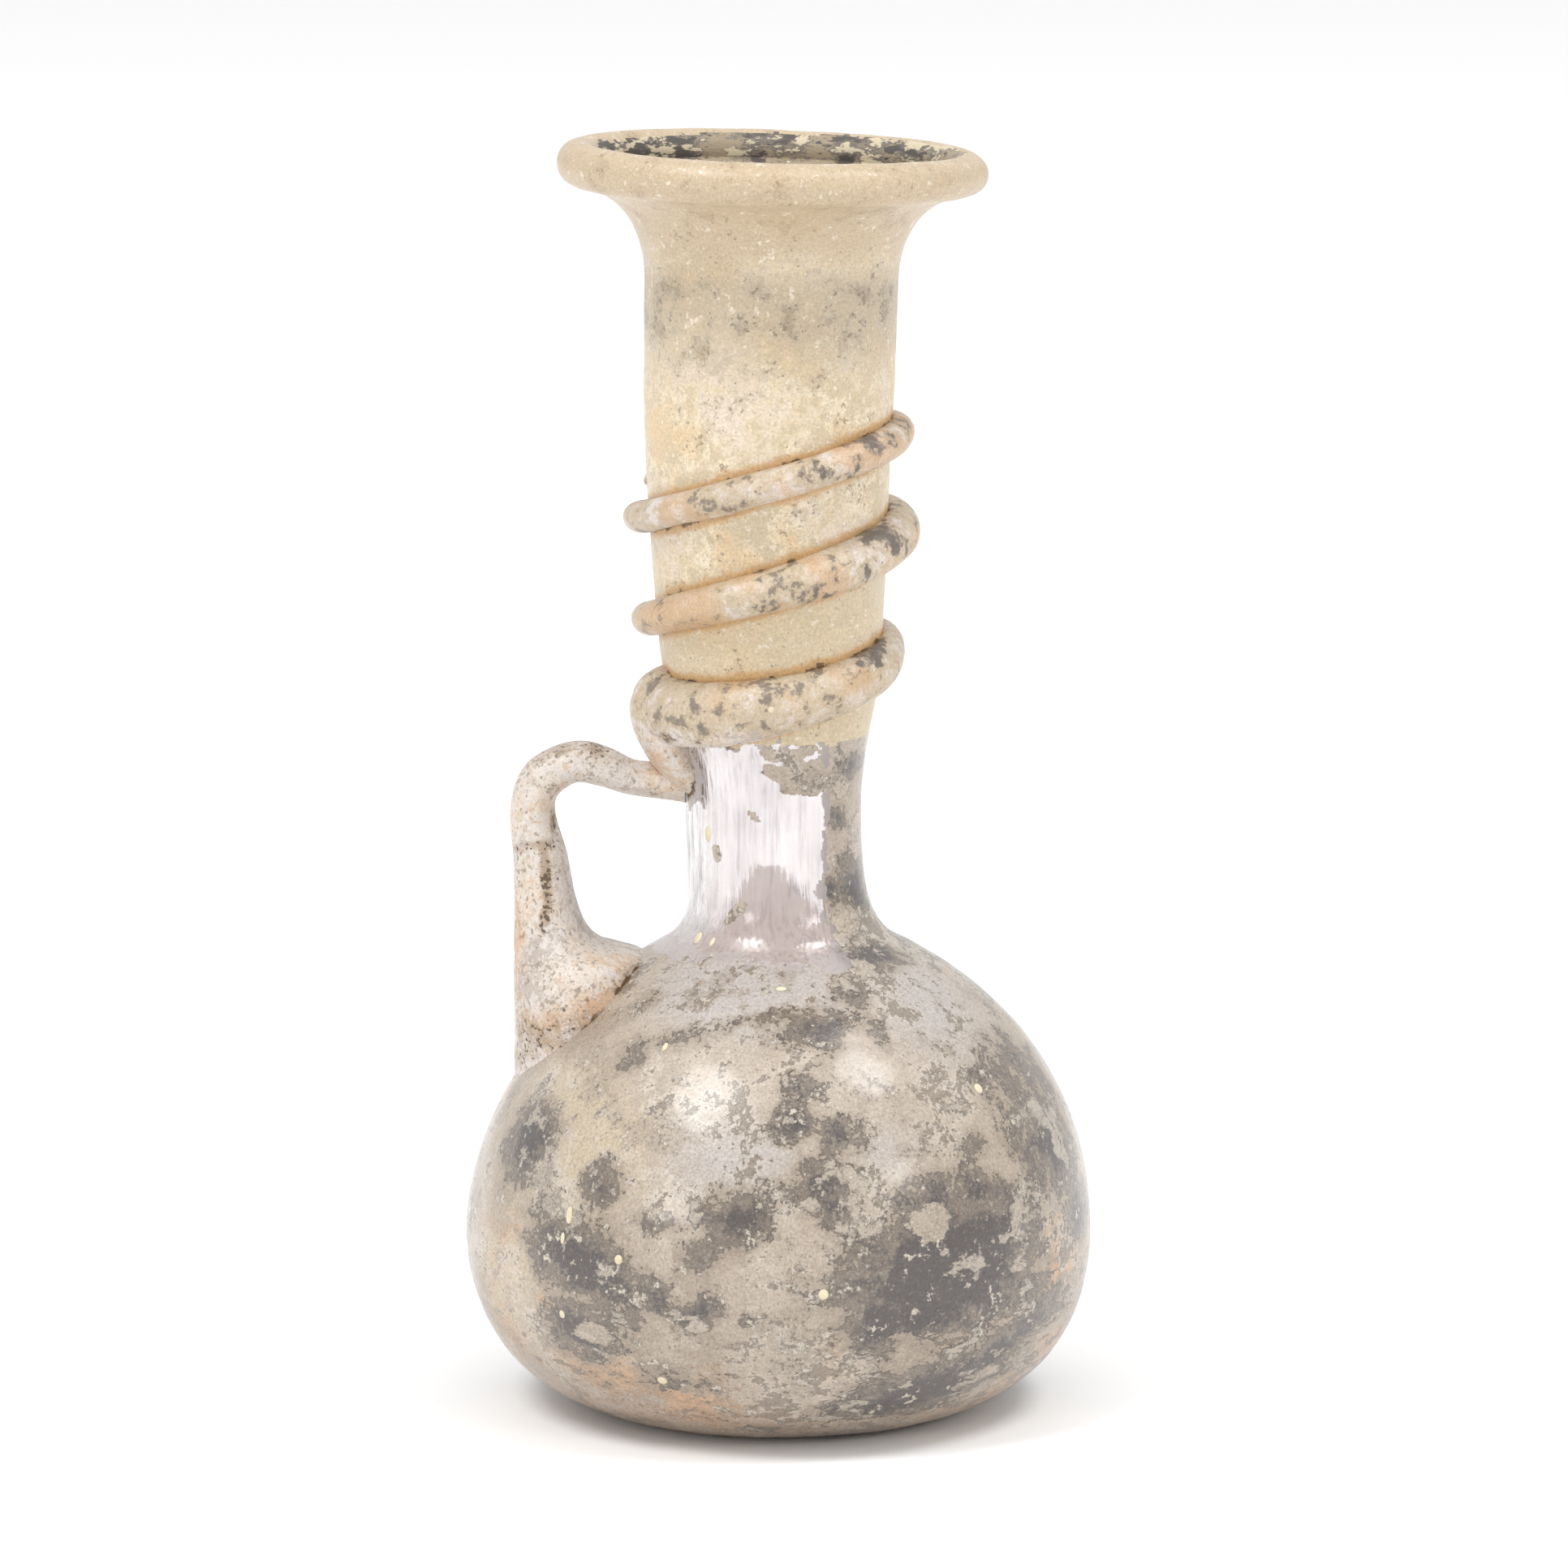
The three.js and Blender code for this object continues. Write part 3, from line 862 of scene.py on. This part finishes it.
# %% Sorting the faces
WINDOW_TOP = 64.3
WINDOW_FOOT = 44.0
STRIP_START = 33
STRIP_END = 100
BACK_CRUST_TOP = 50.3
BACK_CRUST_MIDDLE = -1.1
BACK_CRUST_BEND = 0.2
CRUST_SLOPE = 4
BORDER_NOISES = ((4.0, 0.7), (1.6, 0.9), (0.6, 0.5))
WINDOW_CRUSTS = [
    (13, 61.8, 3.4, 1.2, 0, 1.0),
    (20, 60.5, 2.6, 1.1, 0, 1.0),
    (12, 63.7, 3.0, 0.6, 12, 1.0),
    (-7, 63.9, 0.9, 0.6, 0, 1.0),
    (-43, 54.0, 0.7, 0.9, 0, 1.0),
    (-16, 57.6, 0.8, 0.35, -40, 1.0),
    (-28, 48.4, 1.3, 0.5, 50, 1.0),
    (-19, 44.4, 1.2, 1.0, 0, 1.0),
    (-74, 60.8, 1.7, 3.6, 0, 1.0),
]
FINISHES = [
    "weathered_body",
    "weathered_neck",
    "trailed_glass",
    "clear_glass",
    "mouth_flakes",
    "inside_film_and_glow",
]
MOUTH_DEPTH = 96.0
MOUTH_RADIUS = 17.2
MOUTH_WAVER = 0.5
FOOT_LINE = 22.0
TOUCH = 0.02 * MM


def window_depths(places):
    """How many millimetres each place lies inside the window, negative outside it."""
    x, y, height = places.T
    degrees = np.degrees(np.arctan2(x, -y))
    dome = BACK_CRUST_TOP - BACK_CRUST_BEND * (x - BACK_CRUST_MIDDLE) ** 2
    foot = np.where(y > 0, np.maximum(dome, WINDOW_FOOT), WINDOW_FOOT)
    past_strip = np.maximum(STRIP_START - degrees, degrees - STRIP_END)
    depths = np.minimum(height - foot, WINDOW_TOP - height)
    depths = np.minimum(depths, np.radians(past_strip) * np.hypot(x, y))
    depths = np.minimum(depths, CRUST_SLOPE * (0.5 - patch_field(places, WINDOW_CRUSTS)))
    for size, strength in BORDER_NOISES:
        depths += [strength * noise.noise(Vector(place) / size) for place in places]
    return depths


def is_inside(place, facing):
    """Whether a place lies on the inside of the bubble's wall, by where it is and faces."""
    if place.z > NECK_TOP_HEIGHT * MM:
        radius = math.hypot(place.x, place.y)
        ragged_rim = (MOUTH_RADIUS + MOUTH_WAVER * noise.noise(place / MM / 2)) * MM
        return facing.x * place.x + facing.y * place.y < 0 and radius < ragged_rim
    nearest, normal = core_tree.find_nearest(place)[:2]
    return (place - nearest).dot(normal) < 0


def is_applied(place):
    """Whether a place lies on the handle, the fold or the thread."""
    on_applied = applied_tree.find_nearest(place, TOUCH)[0]
    on_bubble = bubble_tree.find_nearest(place, TOUCH)[0]
    return bool(on_applied) and not on_bubble


BORDER = 0.3
centres = np.array([face.center for face in glass.data.polygons]) / MM
select_only(glass)
bpy.ops.object.mode_set(mode="EDIT")
bpy.ops.mesh.select_mode(type="FACE")
bpy.ops.mesh.select_all(action="DESELECT")
mesh = bmesh.from_edit_mesh(glass.data)
for face, depth in zip(mesh.faces, window_depths(centres)):
    face.select_set(abs(depth) < BORDER)
bmesh.update_edit_mesh(glass.data)
bpy.ops.mesh.subdivide(number_cuts=2)
bpy.ops.object.mode_set(mode="OBJECT")

centres = np.array([face.center for face in glass.data.polygons]) / MM
counts = dict.fromkeys(FINISHES, 0)
for face, place, depth in zip(glass.data.polygons, centres, window_depths(centres)):
    if place[2] > FOOT_LINE and is_applied(face.center):
        finish = "trailed_glass"
    elif depth > 0:
        finish = "clear_glass"
    elif is_inside(face.center, face.normal):
        finish = "mouth_flakes" if place[2] > MOUTH_DEPTH else "inside_film_and_glow"
    elif place[2] > WINDOW_TOP + noise.noise(Vector(place) / 2):
        finish = "weathered_neck"
    else:
        finish = "weathered_body"
    face.material_index = FINISHES.index(finish)
    counts[finish] += 1
print(counts)

# %% [markdown]
# Blown glass is never quite even. Two Displace modifiers with cloud textures press the surface in and
# out: long soft swells from the blowing, and a fine roughness from the weathering. The ring keeps flat
# on the table.

# %% Unevenness
def uneven(piece, name, size, strength):
    """Presses a piece in and out by clouds of a size and a strength in millimetres."""
    texture = bpy.data.textures.new(name, "CLOUDS")
    texture.noise_scale = size * MM
    apply_modifier(
        piece, name, "DISPLACE", texture=texture, strength=strength * MM, mid_level=0.5,
        texture_coords="LOCAL",
    )


uneven(glass, "swells", 11, 0.3)
uneven(glass, "roughness", 1.8, 0.07)
for vertex in glass.data.vertices:
    vertex.co.z = max(vertex.co.z, 0)

# %% [markdown]
# A few burst bubbles hold lime and show as pale drops. Each is a small sphere pressed almost flat, laid
# on the surface where a ray from outside meets it: angle, height, half width, half height.

# %% Burst bubbles
BUBBLES = [
    (-50, 55.6, 0.4, 0.75),
    (-52, 45.7, 0.42, 0.75),
    (-40, 45.6, 0.26, 0.5),
    (1, 42.5, 0.5, 0.28),
    (-31, 37.6, 0.26, 0.45),
    (-42, 22.5, 0.36, 0.8),
    (-43, 20.3, 0.24, 0.55),
    (-30, 19.2, 0.42, 0.45),
    (-43, 13.1, 0.34, 0.4),
    (8, 16.8, 0.48, 0.5),
    (49, 33.4, 0.45, 0.5),
    (-23, 7.7, 0.5, 0.45),
    (-3, 68.5, 0.3, 0.3),
]
DROP_THICKNESS = 0.12
FAR_OUT = 80
surface = search_tree(glass)
select_only(None)
drops = []
for degrees, height, half_width, half_height in BUBBLES:
    angle = math.radians(degrees)
    outward = Vector((math.sin(angle), -math.cos(angle), 0))
    start = outward * FAR_OUT * MM + UP * height * MM
    place, normal = surface.ray_cast(start, -outward)[:2]
    bpy.ops.mesh.primitive_uv_sphere_add(segments=20, ring_count=12, radius=MM)
    drop = bpy.context.object
    drop.scale = (half_width, half_height, DROP_THICKNESS)
    drop.rotation_mode = "QUATERNION"
    drop.rotation_quaternion = normal.to_track_quat("Z", "Y")
    drop.location = place
    drops.append(drop)
for drop in drops:
    drop.select_set(True)
bpy.ops.object.transform_apply(location=True, rotation=True, scale=True)
bpy.context.view_layer.objects.active = drops[0]
bpy.ops.object.join()
burst = bpy.context.object
burst.name = "burst_bubbles"
print("The", len(BUBBLES), "bubbles have", len(burst.data.polygons), "faces")

# %% [markdown]
# Two helpers for the materials. One turns the usual sRGB hex colours into the linear values that Blender
# wants, the other adds a node with its settings and its links.

# %% Helpers for materials
def colour(code):
    """The linear colour of an sRGB hex code."""
    parts = [int(code[i : i + 2], 16) / 255 for i in (1, 3, 5)]
    linear = [p / 12.92 if p <= 0.04045 else ((p + 0.055) / 1.055) ** 2.4 for p in parts]
    return (*linear, 1)


def add_node(tree, kind, inputs, **settings):
    """Adds a node, sets it up and fills its inputs with values or links. The last item says which."""
    made = tree.nodes.new("ShaderNode" + kind)
    for name, value in settings.items():
        setattr(made, name, value)
    for name, value in inputs.items():
        if isinstance(value, bpy.types.NodeSocket):
            tree.links.new(value, made.inputs[name])
        else:
            made.inputs[name].default_value = value
    return made


def new_material(name, **values):
    """A material with its plain values set on the shader."""
    made = bpy.data.materials.new(name)
    made.use_nodes = True
    shader = made.node_tree.nodes["Principled BSDF"]
    for socket, value in values.items():
        shader.inputs[socket.replace("_", " ")].default_value = value
    return made, made.node_tree, shader


print("Cream is", [round(c, 3) for c in colour("#E6DCC2")])

# %% [markdown]
# The weathered finishes share their patterns: the place on the glass, its height, noises from wide clouds
# to a fine grain (size in millimetres, detail, roughness), and the fields of the map. Flaking leaves
# crisp and very ragged borders: a field is shaken by noise and cut off at a level.

# %% Patterns
NOISES = {
    "broad": (8, 4, 0.55),
    "edge": (3.0, 8, 0.7),
    "speck": (0.8, 4, 0.65),
    "pepper": (0.45, 3, 0.6),
    "grain": (0.25, 2, 0.5),
}
FIELDS = ("dark", "flake", "peach", "cream", "pale", "seam", "stain", "orange")


def patterns(tree):
    """The patterns of a weathered finish."""
    place = add_node(tree, "TexCoord", {}).outputs["Object"]
    found = SimpleNamespace(place=place)
    found.height = add_node(tree, "SeparateXYZ", {"Vector": place}).outputs["Z"]
    for name, (size, detail, roughness) in NOISES.items():
        made = {"Vector": place, "Scale": 1000 / size, "Detail": detail, "Roughness": roughness}
        setattr(found, name, add_node(tree, "TexNoise", made).outputs["Fac"])
    for name in FIELDS:
        setattr(found, name, add_node(tree, "Attribute", {}, attribute_name=name).outputs["Fac"])
    return found


def between(tree, height, low, high):
    """From 0 at a height in millimetres to 1 at another."""
    span = {"Value": height, "From Min": low * MM, "From Max": high * MM}
    return add_node(tree, "MapRange", span).outputs[0]


def ragged(tree, field, shaking, amount, level, softness, most=1.0):
    """Up to 1 where a field, shaken by noise, passes a level, with a border as soft as is said."""
    shaken = add_node(tree, "Math", {0: shaking, 1: amount, 2: field}, operation="MULTIPLY_ADD")
    middle = level + amount / 2
    span = {"From Min": middle - softness, "From Max": middle + softness, "To Max": most}
    span["Value"] = shaken.outputs[0]
    return add_node(tree, "MapRange", span, interpolation_type="SMOOTHSTEP").outputs[0]


def tinted(tree, base, other, share):
    """A colour mixed with another by a share, either of them a colour or a link."""
    return add_node(tree, "Mix", {0: share, 6: base, 7: other}, data_type="RGBA").outputs[2]


def layered(tree, surface, layers):
    """Lays thin layers over a surface, each a colour and how its patches are cut, as in ragged."""
    for code, *cut in layers:
        surface = tinted(tree, surface, colour(code), ragged(tree, *cut))
    return surface


def grained(tree, pattern, surface, darkest, lightest):
    """A surface dulled by a fine grain between two shades."""
    span = {"Value": pattern.grain, "From Min": 0.3, "From Max": 0.7}
    share = add_node(tree, "MapRange", span).outputs[0]
    shade = tinted(tree, colour(darkest), colour(lightest), share)
    dulled = {0: 1.0, 6: surface, 7: shade}
    return add_node(tree, "Mix", dulled, data_type="RGBA", blend_type="MULTIPLY").outputs[2]


def rough_surface(tree, shader, relief, depth):
    """Presses a relief into a finish, by a depth in millimetres."""
    bump = add_node(tree, "Bump", {"Height": relief, "Distance": depth * MM, "Strength": 0.9})
    tree.links.new(bump.outputs[0], shader.inputs["Normal"])


print("The patterns are", list(NOISES), "and the fields", FIELDS)

# %% [markdown]
# The body. The weathering is a thin beige crust, cream to the left and pale lilac grey on the shoulder.
# Where it has flaked off, the old glass shows taupe to slate. Low down, iron stained it peach, and the
# flakes lie in streaks. Pale crumbs and dark pits are scattered over all of it.

# %% Weathered body
def weathered_body():
    """A crust of weathered glass with dark bare patches."""
    finish, tree, shader = new_material("weathered_body", IOR=1.52, Coat_Weight=0.6, Coat_Roughness=0.2)
    p = patterns(tree)
    lying = {"Vector": p.place, "Scale": (1000 / 3.5, 1000 / 3.5, 1000 / 1.3), "Rotation": (0, 0.25, 0)}
    lying = add_node(tree, "Mapping", lying).outputs[0]
    streak = {"Vector": lying, "Scale": 1, "Detail": 8, "Roughness": 0.68}
    streak = add_node(tree, "TexNoise", streak).outputs["Fac"]
    low = between(tree, p.height, 24, 12)
    shaking = add_node(tree, "Mix", {0: low, 2: p.edge, 3: streak}).outputs[0]
    granular = add_node(tree, "Mix", {0: 0.22, 2: shaking, 3: p.pepper}).outputs[0]

    clean = add_node(tree, "Math", {0: p.cream, 1: -0.3, 2: p.broad}, operation="MULTIPLY_ADD").outputs[0]
    foot = between(tree, p.height, 13, 3)
    mottle = ragged(tree, clean, granular, 2.6, 0.65, 0.035, 0.85)
    crust = [
        ("#DCD2C6", p.broad, p.edge, 1.3, 0.5, 0.14),  # lighter clouds
        ("#DFD2BA", p.cream, p.edge, 1.2, 0.42, 0.2, 0.8),
        ("#D3CFCF", p.pale, p.edge, 0.5, 0.35, 0.25),
        ("#E6BC96", p.peach, streak, 1.8, 0.42, 0.2, 0.8),
        ("#B2A698", p.dark, p.edge, 1.4, 0.3, 0.12, 0.8),  # a brownish halo round the bare patches
        ("#B5A99B", clean, p.edge, 1.6, 0.58, 0.1, 0.6),  # a worn, greyer film
        ("#ECE6DE", shaking, p.broad, 0.8, 0.55, 0.03, 0.55),  # whitish flecks
        ("#B0A395", shaking, p.broad, -0.9, 0.56, 0.03, 0.5),  # brownish flecks
        ("#C9A688", foot, streak, 3.0, 0.8, 0.3, 0.5),  # a rusty foot
    ]
    crust = layered(tree, colour("#CABEB0"), crust)
    crust = tinted(tree, crust, colour("#A09488"), mottle)
    crust = layered(tree, crust, [("#8F8478", p.pepper, p.edge, 0.7, 0.64, 0.03, 0.75)])

    worn = ragged(tree, p.dark, granular, 2.4, 0.46, 0.03)
    bare = [
        ("#615B5B", p.dark, p.edge, 1.8, 0.64, 0.12),  # slate where the patch is deep
        ("#AFA498", p.speck, p.edge, 0.8, 0.57, 0.05, 0.7),  # remains of the crust
        ("#D0C8BE", p.pepper, p.speck, -0.6, 0.62, 0.03, 0.8),  # pale crumbs
        ("#665D58", p.pepper, p.edge, 0.5, 0.56, 0.04, 0.7),  # dark pits
        ("#5D5757", p.dark, p.edge, 1.2, 0.8, 0.1, 0.8),  # an even slate heart
        ("#D6CDC1", shaking, p.broad, 0.7, 0.6, 0.02, 0.85),  # islands of crust
    ]
    bare = layered(tree, colour("#958A7F"), bare)
    surface = tinted(tree, crust, bare, worn)
    flake = ragged(tree, p.flake, shaking, 2.4, 0.5, 0.04, 0.85)
    crumbs = ragged(tree, p.speck, p.edge, 0.9, 0.655, 0.02)
    surface = tinted(tree, surface, colour("#D3C8BA"), flake)
    surface = tinted(tree, surface, colour("#E2DBD0"), crumbs)
    surface = grained(tree, p, surface, "#BAB4AD", "#DDD8D2")
    surface = layered(tree, surface, [("#6B5236", p.seam, p.edge, 2.6, 0.98, 0.1)])
    tree.links.new(surface, shader.inputs["Base Color"])

    gloss = add_node(tree, "MapRange", {"Value": worn, "To Min": 0.44, "To Max": 0.32}).outputs[0]
    tree.links.new(gloss, shader.inputs["Roughness"])
    layers = add_node(tree, "Math", {0: crumbs, 1: worn}, operation="SUBTRACT").outputs[0]
    layers = add_node(tree, "Math", {0: mottle, 1: -0.6, 2: layers}, operation="MULTIPLY_ADD").outputs[0]
    layers = add_node(tree, "Math", {0: flake, 1: layers}, operation="ADD").outputs[0]
    relief = add_node(tree, "Math", {0: p.speck, 1: 1.2, 2: layers}, operation="MULTIPLY_ADD").outputs[0]
    rough_surface(tree, shader, relief, 0.09)
    return finish


print("Ready to make the body's crust")

# %% [markdown]
# The upper neck keeps its crust whole. It is cream, with soft beige, whitish and ochre clouds, a greyish
# band of dark crumbs under the rim, small pits, and ochre dirt along the thread. The rim is browner.

# %% Weathered neck
def weathered_neck():
    """A whole, cream crust with specks under the rim."""
    finish, tree, shader = new_material("weathered_neck", IOR=1.52, Coat_Weight=0.25, Coat_Roughness=0.3)
    p = patterns(tree)
    below = between(tree, p.height, 84, 76)
    low = between(tree, p.height, 95, 104)
    high = between(tree, p.height, 111.5, 107)
    band = add_node(tree, "Math", {0: low, 1: high}, operation="MULTIPLY").outputs[0]
    clumps = ragged(tree, band, p.edge, 3.0, 0.95, 0.3)
    rim = between(tree, p.height, 107, 113)
    crust = [
        ("#F1E6CC", p.broad, p.edge, 2.0, 0.5, 0.08),  # lighter clouds
        ("#D0C1A4", p.broad, p.edge, -2.4, 0.56, 0.08, 0.8),  # beige clouds
        ("#EADFD4", p.edge, p.broad, -0.8, 0.58, 0.08, 0.7),  # whitish clouds
        ("#E6C99C", p.edge, p.broad, 1.4, 0.62, 0.1, 0.6),  # ochre clouds
        ("#C8BA9E", p.speck, p.edge, 1.0, 0.58, 0.06, 0.55),
        ("#D5C4A4", below, p.edge, 1.4, 0.6, 0.4, 0.7),
        ("#BFB29C", band, p.edge, 3.4, 0.6, 0.5, 0.8),
        ("#A29886", band, p.edge, 4.0, 1.25, 0.25, 0.7),
        ("#6F675C", clumps, p.pepper, 4.0, 1.35, 0.12, 0.85),
        ("#CBB99D", rim, p.broad, 1.0, 0.5, 0.3, 0.9),
        ("#BDA98C", rim, p.edge, 3.0, 1.15, 0.2, 0.7),
        ("#9A8C74", p.pepper, p.edge, 0.9, 0.69, 0.03, 0.85),
        ("#F2EADB", p.speck, p.edge, -0.6, 0.65, 0.04, 0.7),
        ("#D2A86E", p.seam, p.edge, 1.5, 0.42, 0.3, 0.85),
    ]
    crust = layered(tree, colour("#E2D3B4"), crust)
    crust = grained(tree, p, crust, "#D9D4CF", "#F4F0EC")
    crust = layered(tree, crust, [("#6B5236", p.seam, p.edge, 3.4, 1.15, 0.08)])
    tree.links.new(crust, shader.inputs["Base Color"])
    shader.inputs["Roughness"].default_value = 0.45
    relief = add_node(tree, "Math", {0: p.edge, 1: p.speck}, operation="ADD").outputs[0]
    rough_surface(tree, shader, relief, 0.12)
    return finish


print("Ready to make the neck's crust")

# %% [markdown]
# Handle, fold and thread are thick drawn glass. It is less decayed, so light gets a little way in: part
# of it is transmitted. Fine scratches and orange flecks cover the handle, with a few brown cracks, and the
# thread has grey worn spots.

# %% Trailed glass
def trailed_glass():
    """Drawn glass, frosted and stained."""
    finish, tree, shader = new_material("trailed_glass", IOR=1.52, Transmission_Weight=0.2)
    p = patterns(tree)
    stain = ragged(tree, p.stain, p.pepper, 3.4, 0.8, 0.14, 0.9)
    wound = between(tree, p.height, 63, 67)
    glassy = [
        ("#F0E8DE", p.broad, p.edge, 1.2, 0.5, 0.2),
        ("#E2BE96", p.broad, p.speck, 2.0, 0.66, 0.14, 0.6),  # orange flecks
        ("#DCAE7C", p.orange, p.edge, 2.2, 0.6, 0.3, 0.75),
        ("#B3A79B", p.speck, p.broad, -1.0, 0.6, 0.08, 0.6),
        ("#94877A", p.pepper, p.edge, 0.8, 0.6, 0.04, 0.7),
        ("#F0EBE4", p.speck, p.edge, 0.8, 0.62, 0.03, 0.8),  # fine scratches
        ("#A88D6C", p.stain, p.edge, 2.0, 0.35, 0.3, 0.7),
    ]
    glassy = layered(tree, colour("#ECE7E4"), glassy)
    glassy = tinted(tree, glassy, colour("#5F4B38"), stain)
    thread_tones = [
        ("#CDBB9B", wound, p.edge, 3.0, 0.8, 0.25, 0.8),
        ("#D6B084", wound, p.broad, 4.0, 1.25, 0.3, 0.6),
    ]
    glassy = layered(tree, glassy, thread_tones)
    spots = ragged(tree, wound, p.edge, 6, 1.4, 0.2, 0.8)
    worn = ragged(tree, p.dark, p.edge, 2.4, 0.55, 0.07)
    worn = add_node(tree, "Math", {0: spots, 1: worn}, operation="MAXIMUM").outputs[0]
    worn_tone = layered(tree, colour("#A4998B"), [("#736B64", p.speck, p.edge, 1.2, 0.5, 0.1)])
    glassy = tinted(tree, glassy, worn_tone, worn)
    glassy = grained(tree, p, glassy, "#DFDAD5", "#F7F3EF")
    glassy = layered(tree, glassy, [("#6B5236", p.seam, p.edge, 3.4, 1.1, 0.1)])
    tree.links.new(glassy, shader.inputs["Base Color"])
    shader.inputs["Roughness"].default_value = 0.38
    relief = add_node(tree, "Math", {0: p.edge, 1: p.speck}, operation="ADD").outputs[0]
    relief = add_node(tree, "Math", {0: relief, 1: stain}, operation="SUBTRACT").outputs[0]
    rough_surface(tree, shader, relief, 0.14)
    return finish


print("Ready to make the trailed glass")

# %% [markdown]
# The window is the flask's own glass, almost colourless. Its see-through values are plain ones on the
# shader. The neck was stretched upwards, which left fine upright lines, finer than a hair.

# %% Clear glass
def clear_glass():
    """Colourless blown glass with upright lines."""
    finish, tree, shader = new_material("clear_glass", IOR=1.5, Transmission_Weight=1.0, Roughness=0.1)
    place = add_node(tree, "TexCoord", {}).outputs["Object"]
    stretched = {"Vector": place, "Scale": (1000 / 0.45, 1000 / 0.45, 1000 / 9)}
    stretched = add_node(tree, "Mapping", stretched).outputs[0]
    lines = add_node(tree, "TexNoise", {"Vector": stretched, "Scale": 1, "Detail": 4}).outputs["Fac"]
    clouds = add_node(tree, "TexNoise", {"Vector": place, "Scale": 1000 / 6, "Detail": 3}).outputs["Fac"]
    tones = [("#E6E2E2", clouds, lines, 0.8, 0.5, 0.2), ("#C8C2C4", lines, clouds, 0.3, 0.62, 0.06, 0.8)]
    glassy = layered(tree, colour("#F4F1F1"), tones)
    tree.links.new(glassy, shader.inputs["Base Color"])
    rough_surface(tree, shader, lines, 0.06)
    return finish


print("Ready to make the clear glass")

# %% [markdown]
# Inside, soil lay for centuries. The mouth is covered with layers of dark grey, brown and cream that
# peel in flakes, wider than tall. Deeper down there is a pale film. Daylight soaks through the old crust
# from outside, which a path of light can't do here, so the film is given a painted glow of its own that
# stands in for that light.

# %% Weathered inside
def mouth_flakes():
    """Flaking layers in the mouth."""
    finish, tree, shader = new_material("mouth_flakes", IOR=1.52, Roughness=0.5)
    place = add_node(tree, "TexCoord", {}).outputs["Object"]
    lying = {"Vector": place, "Scale": (1000 / 3, 1000 / 3, 1000 / 1.1)}
    lying = add_node(tree, "Mapping", lying).outputs[0]
    layers = {"Vector": lying, "Scale": 1, "Detail": 8, "Roughness": 0.68}
    layers = add_node(tree, "TexNoise", layers).outputs["Fac"]
    broad = add_node(tree, "TexNoise", {"Vector": place, "Scale": 1000 / 7, "Detail": 3}).outputs["Fac"]
    flakes = [
        ("#686059", broad, layers, 1.6, 0.5, 0.06),
        ("#C8BB9F", broad, layers, 3.0, 0.68, 0.05),
        ("#4E4843", broad, layers, -3.0, 0.66, 0.05),
    ]
    flakes = layered(tree, colour("#9A8B74"), flakes)
    tree.links.new(flakes, shader.inputs["Base Color"])
    rough_surface(tree, shader, layers, 0.25)
    return finish


def inside_film_and_glow():
    """The pale film on the inner wall, with a painted glow that stands in for the light soaking through.
    """
    # The emission is a painted glow: it stands in for daylight soaking through the crust.
    finish, tree, shader = new_material(
        "inside_film_and_glow", Roughness=0.6, Emission_Color=colour("#CFC8C6"), Emission_Strength=0.5
    )
    place = add_node(tree, "TexCoord", {}).outputs["Object"]
    broad = add_node(tree, "TexNoise", {"Vector": place, "Scale": 1000 / 6, "Detail": 6}).outputs["Fac"]
    film = tinted(tree, colour("#CDC6C2"), colour("#B9B0AA"), broad)
    tree.links.new(film, shader.inputs["Base Color"])
    return finish


def bubble_lime():
    """The pale lime in burst bubbles."""
    finish, tree, shader = new_material("bubble_lime", Roughness=0.25)
    place = add_node(tree, "TexCoord", {}).outputs["Object"]
    spots = add_node(tree, "TexNoise", {"Vector": place, "Scale": 1000 / 0.8, "Detail": 2}).outputs["Fac"]
    lime = tinted(tree, colour("#E0D6BF"), colour("#BFAF8C"), spots)
    tree.links.new(lime, shader.inputs["Base Color"])
    return finish


print("Ready to make the inside")

# %% [markdown]
# The finishes go on the sorted faces in the order of their list. The drops are joined to the glass, so
# that the flask stays one piece, and it is smoothed except at sharp seams.

# %% Finishing the glass
for make in (weathered_body, weathered_neck, trailed_glass, clear_glass, mouth_flakes, inside_film_and_glow):
    glass.data.materials.append(make())
burst.data.materials.append(bubble_lime())
select_only(glass)
burst.select_set(True)
bpy.ops.object.join()
select_only(glass)
bpy.ops.object.shade_smooth_by_angle(angle=math.radians(40))
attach(glass, "root")
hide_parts("flask")
print("The flask has", len(glass.data.polygons), "faces and", len(glass.data.materials), "materials")

# %% [markdown]
# A catalogue picture: a white table, white all round, and two large soft boxes high on the left and on the
# right. They give the satin lights on the shoulder, and two smaller, lower ones those on the belly.

# %% Table and light
def soft_box(name, direction, distance, size, energy):
    """A square soft box that shines on the flask's middle."""
    middle = Vector((0, 0, 0.06))
    toward = Vector(direction).normalized()
    bpy.ops.object.light_add(type="AREA", location=middle + distance * toward)
    light = bpy.context.object
    light.name = name
    light.data.size = size
    light.data.energy = energy
    light.rotation_euler = toward.to_track_quat("Z", "Y").to_euler()


select_only(None)
soft_box("soft_box_left", (-0.44, -0.36, 0.83), 1.8, 0.6, 14)
soft_box("soft_box_right", (0.43, -0.19, 0.88), 1.8, 0.5, 11)
soft_box("low_box_left", (-0.64, -0.73, 0.23), 1.5, 0.2, 1.3)
soft_box("low_box_right", (0.67, -0.62, 0.40), 1.5, 0.22, 2)
bpy.ops.mesh.primitive_plane_add(size=6, location=(0, 0, 0))
table = bpy.context.object
table.name = "table"
finish, tree, shader = new_material("white_table", Roughness=0.9, Base_Color=(0.96, 0.96, 0.96, 1))
table.data.materials.append(finish)
world = bpy.data.worlds.new("studio")
bpy.context.scene.world = world
world.use_nodes = True
world.node_tree.nodes["Background"].inputs["Color"].default_value = (1, 1, 1, 1)
world.node_tree.nodes["Background"].inputs["Strength"].default_value = 0.88
bpy.context.scene.view_settings.view_transform = "Standard"
print("The table is white and the light soft")
